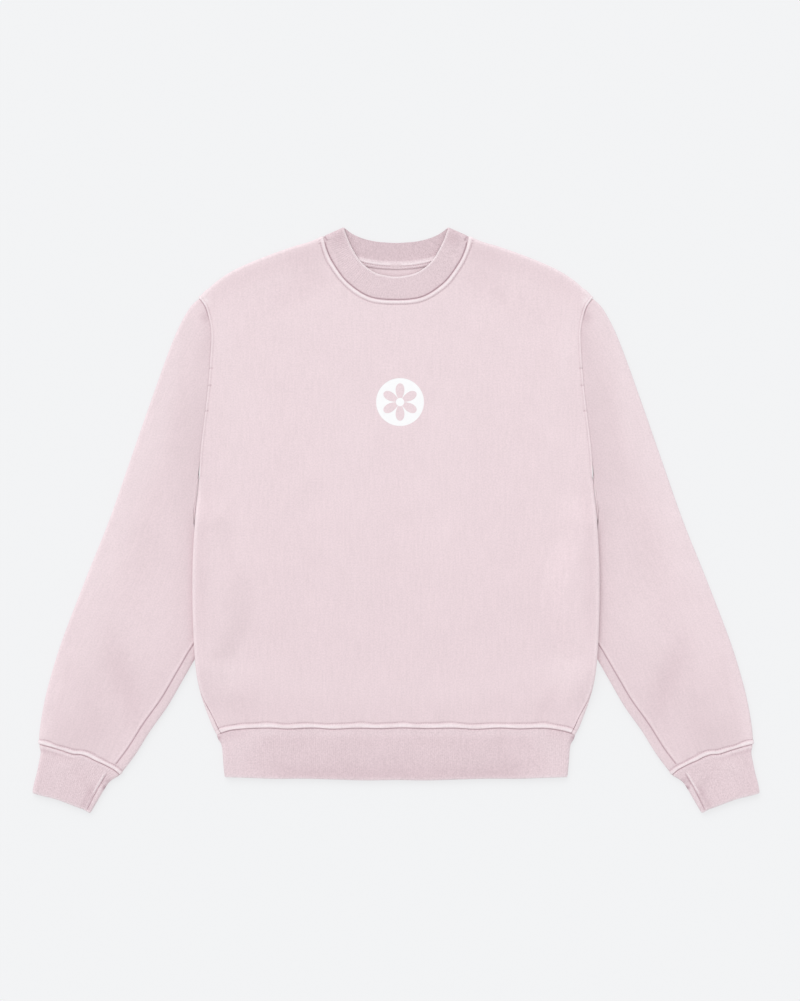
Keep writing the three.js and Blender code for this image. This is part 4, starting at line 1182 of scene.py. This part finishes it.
# Painted light on the neck tape: a painted highlight near the neck seam and on its ridge, painted shade in its
# stitched groove and along its lower edge, and an even lighter tone over the bar tack in the middle
tape_tone = 0.65 * smooth(3.2, 2.2, across) + 0.35 * np.exp(-(((across - 4.8) / 0.9) ** 2))
tape_tone = mix(tape_tone - 0.6 * np.exp(-(((across - TAPE_SEAMS[0]) / 0.6) ** 2)), 0.35, block) - 0.5 * smooth(6, 7, across)
tape_piece = wall(
    "back_neck_tape", tape, TAPE, (tape_cloth, tape_cloth), tape_relief, tape_tone, tape_uv, up=False
)

# Sewing
THREAD = 0.24
STITCH = 2.5
STITCH_PITCH = 3.1
THREAD_SIDES = 5
THREAD_ENDS = ((0, 0.4), (0.14, 1), (0.86, 1), (1, 0.4))


def thread_piece(name, starts, ends, radius):
    """Short rounded threads between pairs of places, as one mesh."""
    along = ends - starts
    across = unit(np.cross(along, [0, 0, 1]))
    over = unit(np.cross(across, along))
    turns = np.arange(THREAD_SIDES) * 2 * math.pi / THREAD_SIDES
    circle = across[:, None] * np.cos(turns)[:, None] + over[:, None] * np.sin(turns)[:, None]
    rings = [starts[:, None] + along[:, None] * t + circle * radius * swell for t, swell in THREAD_ENDS]
    vertices = np.concatenate(rings, axis=1)
    n_rings = len(THREAD_ENDS)
    grid = np.arange(n_rings * THREAD_SIDES).reshape(n_rings, THREAD_SIDES)
    grid = np.concatenate([grid, grid[:, :1]], axis=1)
    sides = quads(grid[:-1, :-1], grid[:-1, 1:], grid[1:, 1:], grid[1:, :-1])
    faces = (sides + np.arange(len(vertices))[:, None, None] * n_rings * THREAD_SIDES).reshape(-1, 4)
    return mesh_object(name, vertices.reshape(-1, 3), faces, (thread,))


def tree_of(piece):
    mesh = piece.data
    return BVHTree.FromPolygons([v.co[:] for v in mesh.vertices], [p.vertices[:] for p in mesh.polygons])


def dropped(tree, places, above):
    """Places in plan, dropped on a piece from above or raised to it from below, and whether each met it."""
    height = 60 * MM if above else -60 * MM
    down = Vector((0, 0, -1 if above else 1))
    hits = [tree.ray_cast(Vector((px * MM, py * MM, height)), down)[0] for px, py in places]
    met = np.array([hit is not None for hit in hits])
    return np.array([hit[:] if hit else (0, 0, 0) for hit in hits]) / MM, met


def sew(name, piece, rows, above=True, radius=THREAD, pitch=STITCH_PITCH, length=STITCH):
    """Rows of stitches along plane lines, lying on a piece's face."""
    tree = tree_of(piece)
    starts, ends = [], []
    for row in rows:
        d = np.arange(pitch / 2, row.length - length, pitch)
        p, p_met = dropped(tree, row.at(d), above)
        q, q_met = dropped(tree, row.at(d + length), above)
        met = p_met & q_met & (np.abs(p[:, 2] - q[:, 2]) < 1)
        starts.append(p[met])
        ends.append(q[met])
    lift = np.array([0, 0, 0.35 * radius if above else -0.35 * radius])
    return thread_piece(name, np.concatenate(starts) + lift, np.concatenate(ends) + lift, radius)


def both(row):
    return [row, row.mirrored()]


def hem_row(offset, share=0):
    x = np.linspace(-222, 222, 160)
    return Line(np.column_stack([x, hem_at(x) + uneven(offset, x, share)]))


def seam_rows(line, side, width, share, **_):
    """The two rows of stitches of a welt: close to its seam, and in its outer hollow."""
    outer = line.moved(lambda d, length: side * uneven(width, d, share))
    return [cut_back(line.moved(side * 1.0), 5, 5), cut_back(outer, 5, 5)]


def cut_back(line, from_start, from_end):
    d = spread(from_start, line.length - from_end, 2)
    return Line(line.at(d))


arm_row = cut_back(armhole.moved(-ARM_WELT["width"]), 4, 22)
cuff_rows = seam_rows(cuff_seam, -1, **CUFF_WELT)
neck_rows = seam_rows(neck_seam_front, 1, **NECK_WELT)
back_neck_rows = [cut_back(neck_seam_back.moved(offset), 5, 5) for offset in (1.0, NECK_WELT["width"])]
hem_rows = [hem_row(1.0), hem_row(HEM_WELT["width"], HEM_WELT["share"])]
tape_rows = [Line(neck_seam_back.at(tape_d) + neck_seam_back.outward(tape_d) * place) for place in TAPE_SEAMS]
BAR = {"half": 7, "pitch": 0.8, "from": 0.9, "to": 6.3}
bar_d = neck_seam_back.length / 2 + np.arange(-BAR["half"], BAR["half"], BAR["pitch"])
bar_rows = [
    Line([neck_seam_back.at(d) + neck_seam_back.outward(d) * place for place in (BAR["from"], BAR["to"])])
    for d in bar_d
]
bar_length = BAR["to"] - BAR["from"] - 0.2
sewing = {
    "front": [sew("front_stitches", front_piece, neck_rows + hem_rows + both(arm_row))],
    "back": [sew("back_stitches", back_piece, back_neck_rows + hem_rows + both(arm_row), above=False)],
    "sleeve_of_the_left": [
        sew("left_cuff_stitches", sleeve_pieces[0], cuff_rows),
        sew("left_cuff_stitches_below", sleeve_pieces[0], cuff_rows, above=False),
    ],
    "sleeve_of_the_right": [
        sew("right_cuff_stitches", sleeve_pieces[1], [row.mirrored() for row in cuff_rows]),
        sew("right_cuff_stitches_below", sleeve_pieces[1], [row.mirrored() for row in cuff_rows], above=False),
    ],
    "back_neck_tape": [
        sew("tape_stitches", tape_piece, tape_rows),
        sew("tape_bar", tape_piece, bar_rows, radius=0.3, pitch=0.3, length=bar_length),
    ],
}

# What each piece is: its node, its slot, its flat size and area in metres, and what it lies on
CLOTHS = {
    "front": ("front_panel", "fleece", (0.532, 0.646), 0.302, ["back"]),
    "back": ("back_panel", "fleece", (0.532, 0.646), 0.307, ["floor"]),
    "sleeve_of_the_left": ("sleeve_left", "fleece", (0.46, 0.60), 0.138, ["floor"]),
    "sleeve_of_the_right": ("sleeve_right", "fleece", (0.46, 0.60), 0.138, ["floor"]),
    "cuff_of_the_left": ("cuff_left", "rib", (0.21, 0.06), 0.0115, ["floor"]),
    "cuff_of_the_right": ("cuff_right", "rib", (0.21, 0.06), 0.0115, ["floor"]),
    "hem_band": ("waistband", "rib", (0.91, 0.064), 0.0577, ["floor"]),
    "neck_ring": ("neckband", "rib", (0.43, 0.031), 0.0118, ["back"]),
    "back_neck_tape": ("neck_tape", "tape", (0.175, 0.010), 0.0012, ["back"]),
}
for name, (node, slot, flat, area, rests_on) in CLOTHS.items():
    piece = bpy.data.objects[name]
    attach(piece, "root")
    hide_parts(node)
    for stitches in sewing.get(name, []):
        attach(stitches, "root")

# Floor, light and camera
FLOOR_SIZE = 6.0
FLOOR_DROP = 0.0006
corners = np.array([(-1, -1, 0), (1, -1, 0), (1, 1, 0), (-1, 1, 0)]) * FLOOR_SIZE
light_table = plain_material("light_table", (0.2, 0.201, 0.205, 1), 0.95, 0.1)
table_shader = light_table.node_tree.nodes["Principled BSDF"]
table_shader.inputs["Emission Color"].default_value = (0.985, 0.992, 1.0, 1)
table_shader.inputs["Emission Strength"].default_value = 0.683
floor = mesh_object("floor", (corners - [0, 0, FLOOR_DROP]) / MM, np.array([[0, 1, 2, 3]]), (light_table,))

scene = bpy.context.scene
scene.view_settings.view_transform = "Standard"
world = bpy.data.worlds.new("studio")
scene.world = world
world.use_nodes = True
sky = world.node_tree.nodes["Background"]
sky.inputs["Color"].default_value = (0.985, 0.993, 1.0, 1)
sky.inputs["Strength"].default_value = 0.82

SUN_FROM = (-0.35, 0.8, 1.0)
sun_light = bpy.data.lights.new("soft_sun", "SUN")
sun_light.energy = 1.2
sun_light.angle = math.radians(50)
sun = bpy.data.objects.new("soft_sun", sun_light)
scene.collection.objects.link(sun)
sun.rotation_mode = "QUATERNION"
sun.rotation_quaternion = Vector(SUN_FROM).to_track_quat("Z", "Y")

PIXEL = 1.29 * MM
PHOTO = (800, 1001)
GARMENT_CENTRE = (396, 520.3)
CAMERA_HEIGHT = 5.0
camera_data = bpy.data.cameras.new("camera")
camera_data.sensor_width = 36
camera_data.lens = camera_data.sensor_width * CAMERA_HEIGHT / (PHOTO[1] * PIXEL)
camera = bpy.data.objects.new("camera", camera_data)
scene.collection.objects.link(camera)
camera.location = (
    (PHOTO[0] / 2 - GARMENT_CENTRE[0]) * PIXEL,
    (GARMENT_CENTRE[1] - PHOTO[1] / 2) * PIXEL,
    CAMERA_HEIGHT + LAID * MM,
)
scene.camera = camera
